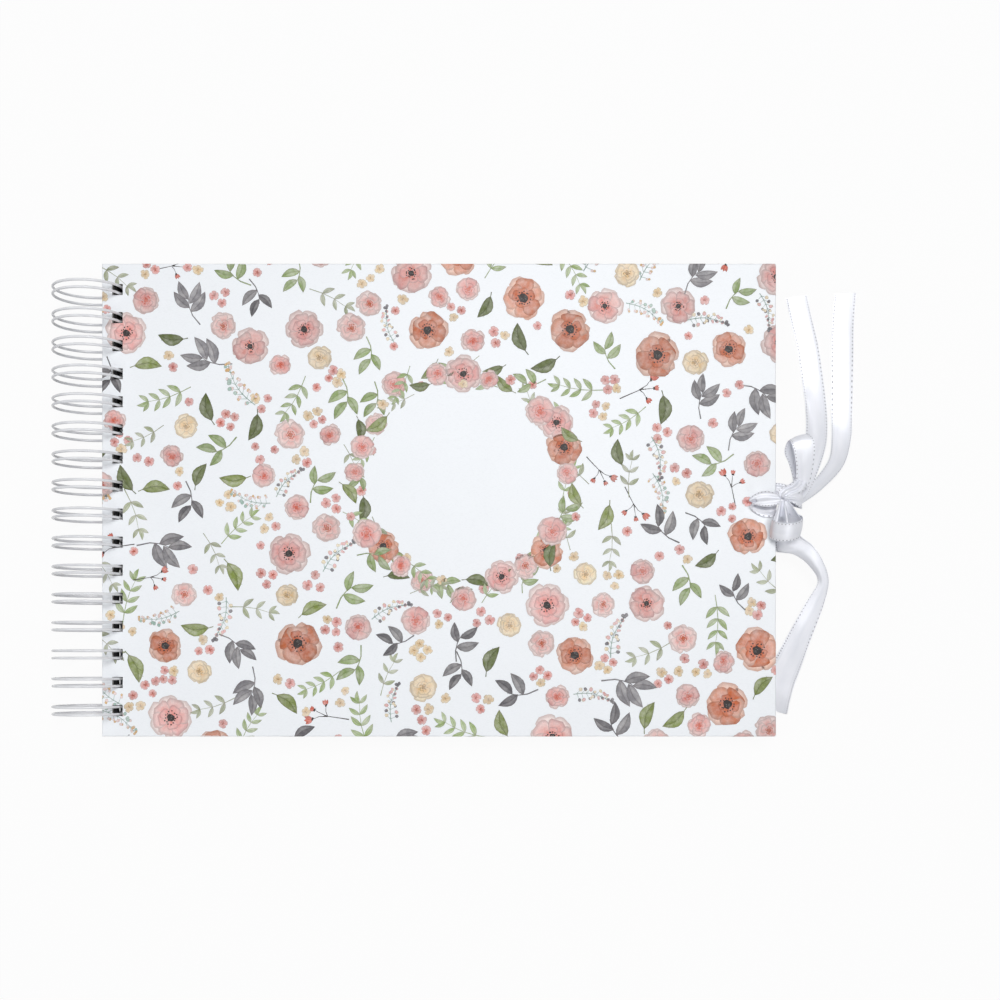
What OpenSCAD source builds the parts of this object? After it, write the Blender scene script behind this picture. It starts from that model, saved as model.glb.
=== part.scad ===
// Wire-bound scrapbook album: two cloth-thin printed paper cases over greyboard,
// black card leaves on a white twin-loop wire, and a satin ribbon tied at the fore-edge.
// The album lies closed. X runs from the wire to the fore-edge, Y from tail to head, Z up.
// The origin is on the table, under the middle of the back cover.

/* [Covers] */
// How much wider a cover is than a leaf
cover_more_w = 8; // [6:0.5:12]
// How much taller a cover is than a leaf
cover_more_h = 4; // [2:0.5:10]
// Thickness of the greyboard
board_t = 2.0; // [1.2:0.1:3]
// Thickness of the printed case paper and of the lining paper
paper_t = 0.15; // [0.1:0.05:0.3]
// Radius of the paper's fold round a board edge
edge_r = 0.5; // [0.3:0.1:0.9]
// How far the case paper is turned in over the inner face
turn_in = 15; // [11:1:25]
// Width of the open mitre where two turn-ins meet
mitre_gap = 0.3; // [0.1:0.1:1]
// How far the lining paper stays inside the cover's edge
liner_inset = 4; // [2:0.5:8]

/* [Leaves] */
// Number of black card leaves
leaf_count = 30; // [10:1:30]
// Width of a leaf
leaf_w = 297; // [140:1:350]
// Height of a leaf
leaf_h = 210; // [100:1:298]
// Thickness of a leaf
leaf_t = 0.3; // [0.2:0.05:0.34]
// Air between two leaves at the wire
leaf_air = 0.065; // [0.04:0.005:0.1]
// Card left between a leaf's holes and its edge
leaf_margin = 4.0; // [3:0.1:6]

/* [Punching] */
// Distance from one hole to the next
loop_pitch = 12.7; // [11:0.1:13]
// Least card left beyond the last hole at head and tail
end_margin = 4; // [3:0.5:8]
// Width of a hole, across the binding edge
hole_w = 4.7; // [4.4:0.1:5.2]
// Height of a hole, along the binding edge
hole_h = 5.0; // [4.8:0.1:5.6]
// Board left between a cover's holes and its edge
cover_margin = 4.7; // [3.5:0.1:6]

/* [Wire] */
// Radius of a closed loop, to the middle of the wire
ring_r = 15.8; // [14.8:0.1:18]
// Diameter of the coated wire
wire_d = 1.2; // [0.9:0.1:1.3]
// Distance between the two wires of a loop
loop_gap = 3.3; // [2.8:0.1:3.4]
// Radius of the wire's bends along the spine line
bend_r = 1.2; // [1:0.1:1.4]
// How much fuller the wire is round a tight bend
bend_swell = 0.02; // [0.01:0.01:0.05]
// How far a straight run enters a bend
bend_lap = 0.05; // [0.02:0.01:0.1]
// Distance that a loop's tip stays short of the spine line
tip_gap = 0.8; // [0.7:0.1:1.5]
// Length of wire left beyond the last loop at each end
stub_len = 1.5; // [0.5:0.1:3]

/* [Clearances] */
// Clearance between the wire and a cover that hangs on it
wire_clear = 0.1; // [0.05:0.01:0.2]
// Clearance above and below the closed seam of the wire
seam_clear = 0.2; // [0.1:0.05:0.4]
// Play of the front cover's holes against the wire
front_play = 0.5; // [0.1:0.1:1]
// Clearance between faces that lie on each other
lie_clear = 0.05; // [0.02:0.01:0.1]
// Clearance between the ribbon and what it lies on or comes out of
ribbon_clear = 0.1; // [0.05:0.05:0.3]

/* [Ribbon] */
// Width of the satin ribbon; its route and the knot keep their shape with it
ribbon_w = 10; // [8:0.5:12]
// Thickness of the satin ribbon
ribbon_t = 0.4; // [0.2:0.1:0.5]
// Width of the knot's band, across the fore-edge
knot_w = 14.6; // [12:0.2:16]
// Length of the knot's band, along the fore-edge
knot_len = 11.5; // [9:0.5:12]
// Height of the knot above the front cover
knot_h = 8.4; // [6:0.2:10]
// How far the band's ends are rounded
edge_round = 0.3; // [0.1:0.1:0.8]

/* [Hidden] */
leaf_names = [for (i = [1 : leaf_count]) str("leaf_", i < 10 ? "0" : "", i)];

$fn = 32;
eps = 0.01;

// The covers follow the leaves, and as many loops as fit follow the leaves' height.
cover_w = leaf_w + cover_more_w;
cover_h = leaf_h + cover_more_h;
loop_count = floor((leaf_h - hole_h - 2 * end_margin) / loop_pitch) + 1;

// Derived sizes. Album coordinates have their origin on the axis of the wire's loops.
cover_t = board_t + 3 * paper_t;
ring_in = ring_r - wire_d / 2;
ring_out = ring_r + wire_d / 2;

// The back cover hangs as low as its holes let it: the board inside the loops touches them
// from within, and the far side of the hole touches them from outside.
hole_diag = norm([hole_w, cover_t]);
seat_in = ring_in - wire_clear;
seat_out = ring_out + wire_clear;
seat_cos = (pow(seat_out, 2) - pow(seat_in, 2) - pow(hole_diag, 2)) / (2 * seat_in * hole_diag);
seat_a = atan2(cover_t, hole_w) - acos(seat_cos);
back_x = seat_in * cos(seat_a) - cover_margin;
back_z = seat_in * sin(seat_a);
back_top = back_z + cover_t;

// The closed seam of the wire lies between the back cover and the last leaf.
seam_z = back_top + seam_clear + wire_d / 2;
seam_r = norm([ring_r, bend_r]);
seam_a = asin(seam_z / seam_r) + atan(bend_r / ring_r);
tip_a = 360 - (bend_r + tip_gap + loop_gap / 2) / ring_r * 180 / PI;
lap_a = bend_lap / ring_r * 180 / PI;

// The leaves follow the loops upwards, from the last one to the first.
leaf_pitch = leaf_t + leaf_air;
stack_z = seam_z + wire_d / 2 + 1.5 * seam_clear;
function leaf_z(k) = stack_z + (leaf_count - k) * leaf_pitch;
function wire_x(z) = sqrt(pow(ring_r, 2) - pow(z, 2));
function leaf_x(k) = wire_x(leaf_z(k) + leaf_t / 2) - hole_w / 2 - leaf_margin;
front_z = leaf_z(1) + leaf_t + lie_clear;
front_x = sqrt(pow(ring_out, 2) - pow(front_z, 2)) + front_play - hole_w - cover_margin;

// Turned about the loops' axis, the stack's fore-edge lies on the back cover.
last_edge = [leaf_x(leaf_count) + leaf_w, leaf_z(leaf_count)];
stack_lean = atan2(last_edge.y, last_edge.x) - asin((back_top + lie_clear) / norm(last_edge));

// At rest the loops and the back cover's lower fore-edge touch the table.
rest_edge = [back_x + cover_w - edge_r, back_z + edge_r];
album_tilt = asin((ring_out - edge_r) / norm(rest_edge)) + atan2(rest_edge.y, rest_edge.x);
function turned(p, a) = [p.x * cos(a) + p.y * sin(a), p.y * cos(a) - p.x * sin(a)];
back_middle = turned([back_x + cover_w / 2, back_z], album_tilt);
axis_x = -back_middle.x;
axis_z = ring_out;

// The ribbon's routes start from the fore-edge of the front cover's top face.
tie_edge = turned([front_x + cover_w, front_z + cover_t], album_tilt + stack_lean) + [axis_x, axis_z];
back_edge_x = turned([back_x + cover_w, back_z + cover_t / 2], album_tilt).x + axis_x;
edge_gap = tie_edge.x - back_edge_x;
route_drop = 15.7;
route_gap = 3.7;
table_z = ribbon_t / 2 + lie_clear;
route_scale = ribbon_w / 10;

paper_color = [0.93, 0.93, 0.96];
liner_color = [0.96, 0.95, 0.94];
board_color = [0.62, 0.60, 0.57];
card_color = [0.09, 0.09, 0.10];
wire_color = [0.95, 0.95, 0.96];
satin_color = [0.95, 0.95, 0.98];

// ---- Placing ----

// From album coordinates to the album at rest on the table
module at_rest() {
    translate([axis_x, 0, axis_z]) rotate([0, album_tilt, 0]) children();
}

// The front cover and the leaves lean down to the back cover
module on_stack() {
    at_rest() rotate([0, stack_lean, 0]) children();
}

function loop_y(i) = (i - (loop_count - 1) / 2) * loop_pitch;

// ---- Covers ----

// Outline of a cover's section, with the folds of the paper as quarter rounds
module fold_section(w, t, r) {
    translate([r, 0]) square([w - 2 * r, t]);
    translate([0, r]) square([w, t - 2 * r]);
    for (x = [r, w - r], y = [r, t - r]) translate([x, y]) circle(r);
}

// Plate from x = 0, centred on Y, with rounded long edges and mitred corners
module folded_plate(w, h, t, r) {
    intersection() {
        translate([0, h / 2, 0]) rotate([90, 0, 0]) linear_extrude(h) fold_section(w, t, r);
        translate([0, -h / 2, 0]) rotate([90, 0, 90]) linear_extrude(w) fold_section(h, t, r);
    }
}

// Flat plate from x = 0, centred on Y
module flat_plate(w, h, t) {
    translate([0, -h / 2, 0]) cube([w, h, t]);
}

// The row of punched holes, as tools that reach through everything at the margin
module punch_row(margin, z, t) {
    for (i = [0 : loop_count - 1])
        translate([margin, loop_y(i) - hole_h / 2, z - eps]) cube([hole_w, hole_h, t + 2 * eps]);
}

module board() {
    color(board_color)
    difference() {
        translate([paper_t, 0, paper_t])
            folded_plate(cover_w - 2 * paper_t, cover_h - 2 * paper_t, board_t, edge_r - paper_t);
        punch_row(cover_margin, paper_t, board_t);
    }
}

// Printed paper round the board: outer face, four edges and four turn-ins with open mitres
module wrap() {
    color(paper_color)
    difference() {
        folded_plate(cover_w, cover_h, board_t + 2 * paper_t, edge_r);
        translate([paper_t, 0, paper_t])
            folded_plate(cover_w - 2 * paper_t, cover_h - 2 * paper_t, board_t, edge_r - paper_t);
        translate([turn_in, 0, paper_t + board_t / 2])
            flat_plate(cover_w - 2 * turn_in, cover_h - 2 * turn_in, board_t);
        for (x = [0, 1], y = [-1, 1]) mitre(x, y);
        punch_row(cover_margin, 0, cover_t);
    }
}

// Slit between two turn-ins, from the corner of the lining's window to near the cover's corner
module mitre(x, y) {
    translate([x * cover_w, y * cover_h / 2, paper_t + board_t])
        rotate([0, 0, x == 0 ? -45 * y : 180 + 45 * y])
            translate([2 * edge_r, -mitre_gap / 2, -eps])
                cube([turn_in * sqrt(2) - edge_r, mitre_gap, paper_t + 2 * eps]);
}

// Lining paper: it covers the turn-ins and steps down onto the board between them
module liner() {
    window_w = cover_w - 2 * turn_in;
    window_h = cover_h - 2 * turn_in;
    color(liner_color)
    translate([0, 0, paper_t + board_t])
    difference() {
        union() {
            translate([liner_inset, 0, paper_t])
                flat_plate(cover_w - 2 * liner_inset, cover_h - 2 * liner_inset, paper_t);
            translate([turn_in, 0, 0]) flat_plate(window_w, window_h, 2 * paper_t);
        }
        translate([turn_in + paper_t, 0, paper_t])
            flat_plate(window_w - 2 * paper_t, window_h - 2 * paper_t, 2 * paper_t);
        punch_row(cover_margin, 0, 2 * paper_t);
    }
}

// The back cover lies with its lining up, the front cover with its lining down
module on_back() {
    at_rest() translate([back_x, 0, back_z]) children();
}

module on_front() {
    on_stack() translate([front_x, 0, front_z + cover_t]) mirror([0, 0, 1]) children();
}

module back_board() { on_back() board(); }
module back_wrap() { on_back() wrap(); }
module back_liner() { on_back() liner(); }
module front_board() { on_front() board(); }
module front_wrap() { on_front() wrap(); }
module front_liner() { on_front() liner(); }

// ---- Leaves ----

module leaf(k) {
    color(card_color)
    on_stack() translate([leaf_x(k), 0, leaf_z(k)])
    difference() {
        flat_plate(leaf_w, leaf_h, leaf_t);
        punch_row(leaf_margin, 0, leaf_t);
    }
}

// ---- Twin-loop wire ----

// Round wire bent about Z, from angle a0 to a1
module bent_wire(r, d, a0, a1) {
    rotate([0, 0, a0]) rotate_extrude(angle = a1 - a0) translate([r, 0]) circle(d = d);
}

// Two wires round the loop, joined by a hairpin tip, with their bends to the spine line
module wire_loop() {
    tight_d = wire_d + bend_swell;
    for (s = [-1, 1]) {
        translate([0, s * loop_gap / 2, 0]) rotate([90, 0, 0])
            bent_wire(ring_r, wire_d, -lap_a, tip_a + lap_a);
        translate([ring_r, s * (loop_gap / 2 + bend_r), 0]) rotate([0, 90, 0])
            bent_wire(bend_r, tight_d, s > 0 ? -90 : 0, s > 0 ? 0 : 90);
    }
    rotate([0, -tip_a, 0]) translate([ring_r, 0, 0]) rotate([0, -90, 0])
        bent_wire(loop_gap / 2, tight_d, -90, 90);
}

// Straight wire on the spine line, from one y to another
module spine_run(y0, y1) {
    translate([ring_r, y0, -bend_r]) rotate([-90, 0, 0]) cylinder(d = wire_d, h = y1 - y0);
}

module twin_loop_wire() {
    half = loop_gap / 2 + bend_r;
    end_y = loop_y(loop_count - 1) + half - bend_lap;
    color(wire_color)
    at_rest() rotate([0, -seam_a, 0]) {
        for (i = [0 : loop_count - 1]) translate([0, loop_y(i), 0]) wire_loop();
        for (i = [0 : loop_count - 2])
            spine_run(loop_y(i) + half - bend_lap, loop_y(i + 1) - half + bend_lap);
        spine_run(end_y, end_y + stub_len);
        spine_run(-end_y - stub_len, -end_y);
    }
}

// ---- Ribbon ----

// A route's points are [x, y, h] from the front cover's fore-edge, for a ribbon 10 mm wide.
// Below the edge, h runs down to the table whatever the album's thickness, and what is left of
// x = 0 follows the back cover.
function place(p) = [
    tie_edge.x + p.x * (p.x < 0 ? edge_gap / route_gap : route_scale),
    p.y * route_scale,
    tie_edge.y + p.z * (p.z < 0 ? (tie_edge.y - table_z) / route_drop : route_scale)];

// A ball of the gathered ribbon, flattened by its last argument
module gather(p, r, flat = [1, 1, 1]) {
    translate(p * route_scale) scale(flat * route_scale) sphere(r);
}

// Smooth curve through the points p, with n steps between two of them
function blend(a, b, c, d, u) = b + 0.5 * u * (c - a + u * (2 * a - 5 * b + 4 * c - d
    + u * (3 * (b - c) + d - a)));
function smooth(p, n) = let (m = len(p) - 1) concat(
    [for (i = [0 : m - 1], j = [0 : n - 1])
        blend(p[max(i - 1, 0)], p[i], p[i + 1], p[min(i + 2, m)], j / n)],
    [p[m]]);

// Flat ribbon between two edges that have as many points each
module ribbon(edge_a, edge_b, steps = 4) {
    a = smooth([for (p = edge_a) place(p)], steps);
    b = smooth([for (p = edge_b) place(p)], steps);
    m = len(a) - 1;
    across = [for (i = [0 : m])
        let (run = a[min(i + 1, m)] + b[min(i + 1, m)] - a[max(i - 1, 0)] - b[max(i - 1, 0)],
             n = cross(b[i] - a[i], run))
        n / norm(n) * ribbon_t / 2];
    points = [for (i = [0 : m]) each
        [a[i] + across[i], b[i] + across[i], b[i] - across[i], a[i] - across[i]]];
    sides = [for (i = [0 : m - 1], j = [0 : 3]) let (
        p = 4 * i + j, q = 4 * i + (j + 1) % 4) each [[p, q, q + 4], [p, q + 4, p + 4]]];
    color(satin_color)
        polyhedron(points, concat([[3, 2, 1], [3, 1, 0]], sides,
            [[4 * m, 4 * m + 1, 4 * m + 2], [4 * m, 4 * m + 2, 4 * m + 3]]));
}

// The back cover's ribbon: out of its fore-edge, along the table below the front cover,
// folded back at the tail, and up in a slack bow to below the knot
module back_ribbon() {
    ribbon(
        [[-3.6, -6, -13.8], [-3.3, -12, -13.4], [-3.2, -22, -12], [-3.2, -50, -13],
         [-3.2, -82, -15.5], [-3.1, -94, -14.7], [-2, -87, -13.4], [-0.6, -77, -12.6],
         [4.1, -68, -11.8], [9.3, -58, -11], [15.6, -46, -9], [20.4, -36.5, -6.8],
         [15.8, -28.5, -4.6], [9.5, -23, -3], [4.2, -21, -1.9], [1.2, -19.5, -1.6],
         [1, -13, -1.5]],
        [[-3.6, 4, -13.8], [1.4, 1, -14.6], [3.2, -12, -15.6], [3.4, -50, -15.7],
         [4.2, -88, -15.7], [7.6, -97.5, -14.8], [9.3, -91.5, -13.8], [11.3, -84, -13.4],
         [14.5, -75, -12.8], [18, -64, -11.4], [23.4, -48, -9], [25.1, -36.5, -5.6],
         [22, -27.5, -3.4], [17.6, -21, -2.3], [14.2, -18.2, -1.8], [11.5, -16, -1.6],
         [10.8, -12.5, -1.5]]);
}

// The front cover's ribbon, from under its fore-edge to the knot
module front_ribbon() {
    ribbon(
        [[0.2, 8, -2], [3, 7.5, -1.2], [6.5, 6.2, -0.4], [10, 4.2, 0.6]],
        [[0.2, 0, -2], [3, 0.2, -1.2], [6.5, 0, -0.4], [10, -0.6, 0.6]]);
}

// The knot: a full band over the fore-edge, gathered to a pinch
module bow_knot() {
    rise = knot_h / 2;
    band_x = 4 * route_scale;
    color(satin_color)
    translate([tie_edge.x, 0, tie_edge.y])
    hull() {
        for (side = [0, 1])
            translate([band_x, -(6.3 + side) * route_scale, rise + ribbon_clear])
                rotate([90, 0, 0]) scale([knot_w / knot_h, 1, 1])
                    cylinder(r = rise - (1 - side) * edge_round, h = knot_len - side * 2 * route_scale);
        gather([3.6, 3, 4], 2.2, [1.3, 1, 1.3]);
    }
}

// The loop that lies on the front cover, open towards the wire side
module bow_side_loop() {
    color(satin_color)
    translate([tie_edge.x, 0, tie_edge.y])
    hull() {
        gather([-11.2, -0.8, 2.3], 2.2, [0.5, 1, 0.9]);
        gather([-7.6, 0.6, 2.5], 2, [1, 1, 1.1]);
        gather([-6.1, -4.2, 1.2], 1.8, [1, 1, 0.5]);
        gather([-2.3, 2.4, 2.8], 1.6);
    }
}

// The loop that stands up beyond the fore-edge and turns over
module bow_top_loop() {
    ribbon(
        [[8, 5, 3], [7.9, 12, 6], [6.8, 18.5, 8.4], [5.4, 23.6, 9], [4.4, 26, 7.6],
         [3.6, 25, 5.2], [3, 21, 3.6], [5, 16.5, 2.8], [6.7, 11, 2.2], [7.7, 5.4, 1.8]],
        [[13.9, 5, 3], [15.1, 12, 6], [15.7, 20, 8.4], [15, 26, 9], [12.6, 28.8, 7.6],
         [10.8, 28, 5.2], [10.9, 23, 3.4], [11.4, 17, 2.4], [11.7, 11, 1.9], [11.6, 5.4, 1.6]]);
}

// The tail nearer the album, from the knot down to the table
module bow_inner_tail() {
    ribbon(
        [[10.3, 4.9, 0.6], [12.9, 19.5, -4], [15.6, 32.5, -9], [16.2, 45.5, -13],
         [15.1, 58, -15.3], [13.1, 72.5, -15.7], [10.1, 85, -15.6], [7.7, 95, -14.8]],
        [[15.1, 4.2, 0.4], [20.9, 16, -4], [25.1, 28, -9], [26.2, 41.5, -13],
         [25.1, 57, -15.3], [22.8, 73.5, -15.7], [19.6, 87, -15.6], [17.3, 96.5, -14.8]]);
}

// The tail further out, which leaves the knot on edge and opens flat on the table
module bow_outer_tail() {
    ribbon(
        [[10.6, 2.6, 0], [17.6, 9, -2.4], [25.8, 19.5, -8], [28.1, 30, -12.2],
         [28.7, 41.5, -15], [29, 66, -15.7], [29.2, 82.5, -15.6], [30.2, 97, -14.8]],
        [[12.2, -1.4, -1], [22.1, 5.5, -5.5], [32.9, 16.5, -10.5], [37.3, 29, -13.4],
         [38.4, 42.5, -15.2], [39, 66, -15.7], [39.2, 83, -15.6], [40, 97.5, -14.8]]);
}

// ---- Nodes ----

back_board();
back_wrap();
back_liner();
twin_loop_wire();
for (k = [1 : leaf_count]) leaf(k);
front_board();
front_wrap();
front_liner();
back_ribbon();
front_ribbon();
bow_knot();
bow_side_loop();
bow_top_loop();
bow_inner_tail();
bow_outer_tail();
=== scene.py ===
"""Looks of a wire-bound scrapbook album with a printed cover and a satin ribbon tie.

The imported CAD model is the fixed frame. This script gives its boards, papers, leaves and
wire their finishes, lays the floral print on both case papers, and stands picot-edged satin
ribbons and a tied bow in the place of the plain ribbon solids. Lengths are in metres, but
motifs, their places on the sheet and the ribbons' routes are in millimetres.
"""

import logging
import math
import random
from collections.abc import Callable, Iterator, Sequence
from contextlib import contextmanager
from dataclasses import dataclass, field
from enum import Enum

import bpy
import numpy as np
from mathutils import Matrix, Vector

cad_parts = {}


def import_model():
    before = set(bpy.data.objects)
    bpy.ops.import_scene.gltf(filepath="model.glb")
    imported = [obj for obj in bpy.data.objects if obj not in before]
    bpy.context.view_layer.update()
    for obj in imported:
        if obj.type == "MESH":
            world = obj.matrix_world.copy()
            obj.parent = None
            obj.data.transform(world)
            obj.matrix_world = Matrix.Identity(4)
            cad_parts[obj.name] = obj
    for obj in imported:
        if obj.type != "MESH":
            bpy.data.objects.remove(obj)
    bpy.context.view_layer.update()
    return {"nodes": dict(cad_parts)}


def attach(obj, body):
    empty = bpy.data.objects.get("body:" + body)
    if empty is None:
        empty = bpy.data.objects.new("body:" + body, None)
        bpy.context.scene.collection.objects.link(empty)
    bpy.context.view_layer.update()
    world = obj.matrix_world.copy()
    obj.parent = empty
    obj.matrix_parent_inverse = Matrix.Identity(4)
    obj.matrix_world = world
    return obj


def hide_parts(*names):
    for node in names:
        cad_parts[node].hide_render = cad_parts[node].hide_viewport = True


log = logging.getLogger("album")

MM = 0.001

Piece = bpy.types.Object
Socket = bpy.types.NodeSocket
Point = tuple[float, float]
Triple = tuple[float, float, float]
Colour = tuple[float, float, float]
# A brush is an inner colour, an outer colour and a layer, and a stroke is any of the three.
Brush = tuple[Colour, Colour, int]
Stroke = Colour | int
Route = Sequence[Triple]
# A surface gives a point for u across and v along, both from 0 to 1, and a shift moves it.
Surface = Callable[[float, float], Vector]
Shift = Callable[[float, float], Triple]


# ---- Colours ----


def linear(red: int, green: int, blue: int) -> Colour:
    """Turns a colour as mixed on screen, 0 to 255, into linear light."""
    parts = [value / 255 for value in (red, green, blue)]
    return tuple(p / 12.92 if p <= 0.04045 else ((p + 0.055) / 1.055) ** 2.4 for p in parts)


def grey(value: float) -> Colour:
    """A neutral colour of that linear value."""
    return (value,) * 3


def shade(colour: Colour, factor: float) -> Colour:
    """Darkens a colour by a factor below 1, or brings it towards white by one above."""
    return tuple(c * factor if factor <= 1 else 1 - (1 - c) / factor for c in colour)


def blend(first: Colour, second: Colour, share: float) -> Colour:
    """Mixes a share of the second colour into the first."""
    return tuple(a + (b - a) * share for a, b in zip(first, second))


class Tint(Enum):
    """The print's inks."""

    TERRACOTTA = linear(210, 118, 72)
    RUST = linear(188, 84, 42)
    APRICOT = linear(238, 190, 168)
    BLUSH = linear(236, 186, 184)
    PETAL = linear(242, 218, 214)
    ROSE = linear(216, 116, 104)
    CORAL = linear(212, 96, 72)
    CREAM = linear(244, 228, 196)
    SAND = linear(224, 182, 124)
    OCHRE = shade(SAND, 0.6)
    OLIVE = linear(126, 142, 62)
    FERN = shade(OLIVE, 1.3)
    MOSS = linear(92, 106, 44)
    SAGE = linear(152, 176, 108)
    THYME = shade(SAGE, 0.92)
    MINT = linear(164, 196, 184)
    SLATE = linear(124, 122, 127)
    GRAPHITE = linear(98, 96, 101)
    UMBER = linear(36, 27, 26)


# ---- Finishes ----


class Nodes:
    """A node tree, with short ways to fill it."""

    def __init__(self, tree: bpy.types.NodeTree) -> None:
        """Takes the tree."""
        self.tree = tree

    def add(self, kind: str, **inputs: object) -> bpy.types.Node:
        """Adds a node and fills its inputs.

        Args:
            kind: The node's type, without the ShaderNode in front.
            **inputs: Input names, with _ for a space, and their sockets or values.

        Returns:
            The new node.
        """
        node = self.tree.nodes.new("ShaderNode" + kind)
        for key, value in inputs.items():
            self.feed(node.inputs[key.replace("_", " ")], value)
        return node

    def feed(self, target: Socket, value: object) -> None:
        """Fills one input.

        Args:
            target: The input.
            value: A socket to link to it, or a value of its own.
        """
        if isinstance(value, Socket):
            self.tree.links.new(value, target)
        else:
            target.default_value = value

    def math(self, how: str, *values: object) -> Socket:
        """Adds a Math node.

        Args:
            how: Its operation.
            *values: Up to three values or sockets.

        Returns:
            Its result.
        """
        node = self.tree.nodes.new("ShaderNodeMath")
        node.operation = how
        for socket, value in zip(node.inputs, values):
            self.feed(socket, value)
        return node.outputs[0]

    def seen(self) -> Socket:
        """Finds what looks here: 1 for the camera, straight, in a gloss or through glass.

        Returns:
            The value.
        """
        rays = self.add("LightPath").outputs
        seen = self.math("MAXIMUM", rays["Is Camera Ray"], rays["Is Glossy Ray"])
        return self.math("MAXIMUM", seen, rays["Is Transmission Ray"])

    def layered(self, share: Socket, under: Socket, over: Socket) -> Socket:
        """Mixes two shaders.

        Args:
            share: The second one's share.
            under: The first one.
            over: The second one.

        Returns:
            The mixed shader.
        """
        node = self.add("MixShader", Fac=share)
        for place, shader in ((1, under), (2, over)):
            self.feed(node.inputs[place], shader)
        return node.outputs[0]


class NodeSheet(Nodes):
    """A material's node tree around one Principled shader."""

    def __init__(self, name: str, roughness: float) -> None:
        """Makes the material.

        Args:
            name: Its name.
            roughness: The shader's own roughness, which a texture may vary.
        """
        self.material = bpy.data.materials.new(name)
        self.material.use_nodes = True
        super().__init__(self.material.node_tree)
        self.shader = self.tree.nodes["Principled BSDF"]
        self.set(Roughness=roughness)

    def set(self, **inputs: object) -> None:
        """Fills inputs of the Principled shader, with _ for a space in their names."""
        for key, value in inputs.items():
            self.feed(self.shader.inputs[key.replace("_", " ")], value)

    def coordinates(self, name: str = "Object") -> Socket:
        """The texture coordinate output of that name."""
        return self.add("TexCoord").outputs[name]

    def stretched(self, socket: Socket, scale: Triple) -> Socket:
        """Coordinates scaled along each axis."""
        return self.add("Mapping", Vector=socket, Scale=scale).outputs["Vector"]

    def noise(self, where: Socket, scale: float, detail: float = 2.0, rough: float = 0.5) -> Socket:
        """A noise value between 0 and 1."""
        node = self.add("TexNoise", Vector=where, Scale=scale, Detail=detail, Roughness=rough)
        return node.outputs["Fac"]

    def ramp(self, value: Socket, *stops: tuple[float, Colour]) -> Socket:
        """Turns a value into a colour.

        Args:
            value: The value, from 0 to 1.
            *stops: Positions and the colours there.

        Returns:
            The colour.
        """
        node = self.add("ValToRGB", Fac=value)
        band = node.color_ramp.elements
        while len(band) < len(stops):
            band.new(0.5)
        for element, (place, colour) in zip(band, stops):
            element.position, element.color = place, (*colour, 1)
        return node.outputs["Color"]

    def mix(self, factor: object, first: object, second: object, how: str = "MIX") -> Socket:
        """Mixes two colours.

        Args:
            factor: The second colour's share.
            first: The first colour, as a socket or with its alpha.
            second: The second colour.
            how: The way they are mixed.

        Returns:
            The mixed colour.
        """
        node = self.tree.nodes.new("ShaderNodeMix")
        node.data_type, node.blend_type = "RGBA", how
        # For colours, the node's factor is its input 0, and the colours are 6 and 7.
        for place, value in ((0, factor), (6, first), (7, second)):
            self.feed(node.inputs[place], value)
        return node.outputs[2]

    def product(self, first: Socket, second: Socket) -> Socket:
        """One colour multiplied by another."""
        return self.mix(1.0, first, second, "MULTIPLY")

    def bump(self, height: Socket, depth: float, strength: float = 1.0) -> None:
        """Bumps the shader's surface by a height that spans depth metres."""
        node = self.add("Bump", Height=height, Distance=depth, Strength=strength)
        self.set(Normal=node.outputs["Normal"])


@dataclass(frozen=True)
class Finish:
    """A procedural finish, made once and then shared by its pieces."""

    name: str
    roughness: float

    def paint(self, sheet: NodeSheet) -> None:
        """Lays the finish's nodes."""
        raise NotImplementedError

    def dress(self, *pieces: Piece) -> None:
        """Gives this finish to pieces, CAD nodes among them.

        Args:
            *pieces: The pieces.
        """
        material = bpy.data.materials.get(self.name)
        if material is None:
            sheet = NodeSheet(self.name, self.roughness)
            self.paint(sheet)
            material = sheet.material
        for piece in pieces:
            piece.data.materials.clear()
            piece.data.materials.append(material)


@dataclass(frozen=True)
class Paper(Finish):
    """Paper with a faint formation, fibres in the surface and, if coated, a soft gloss."""

    colour: Colour
    coat: float = 0.0
    tooth: float = 0.00002

    def paint(self, sheet: NodeSheet) -> None:
        """Lays the paper's clouds, flecks and tooth.

        Args:
            sheet: The material's nodes.
        """
        where = sheet.coordinates()
        cloud = sheet.noise(where, scale=55, detail=3)
        fibre = sheet.noise(sheet.stretched(where, (1, 3, 1)), scale=900, detail=4, rough=0.65)
        base = sheet.mix(cloud, (*shade(self.colour, 0.975), 1), (*self.colour, 1))
        flecks = sheet.ramp(fibre, (0.32, grey(0.955)), (0.5, grey(1.0)))
        sheet.set(
            Base_Color=sheet.product(base, flecks),
            Roughness=sheet.math("MULTIPLY_ADD", fibre, 0.16, self.roughness - 0.08),
            Coat_Weight=self.coat,
            Coat_Roughness=0.3,
        )
        sheet.bump(fibre, self.tooth)


@dataclass(frozen=True)
class Greyboard(Finish):
    """Pressed grey board with flecks of recycled fibre."""

    def paint(self, sheet: NodeSheet) -> None:
        """Lays the flecks.

        Args:
            sheet: The material's nodes.
        """
        where = sheet.stretched(sheet.coordinates(), (1, 1, 4))
        fleck = sheet.noise(where, scale=650, detail=5, rough=0.7)
        dark, middle, pale = linear(108, 102, 94), linear(150, 144, 134), linear(176, 170, 160)
        tone = sheet.ramp(fleck, (0.3, dark), (0.5, middle), (0.7, pale))
        sheet.set(Base_Color=tone)
        sheet.bump(fleck, 0.00006)


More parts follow.
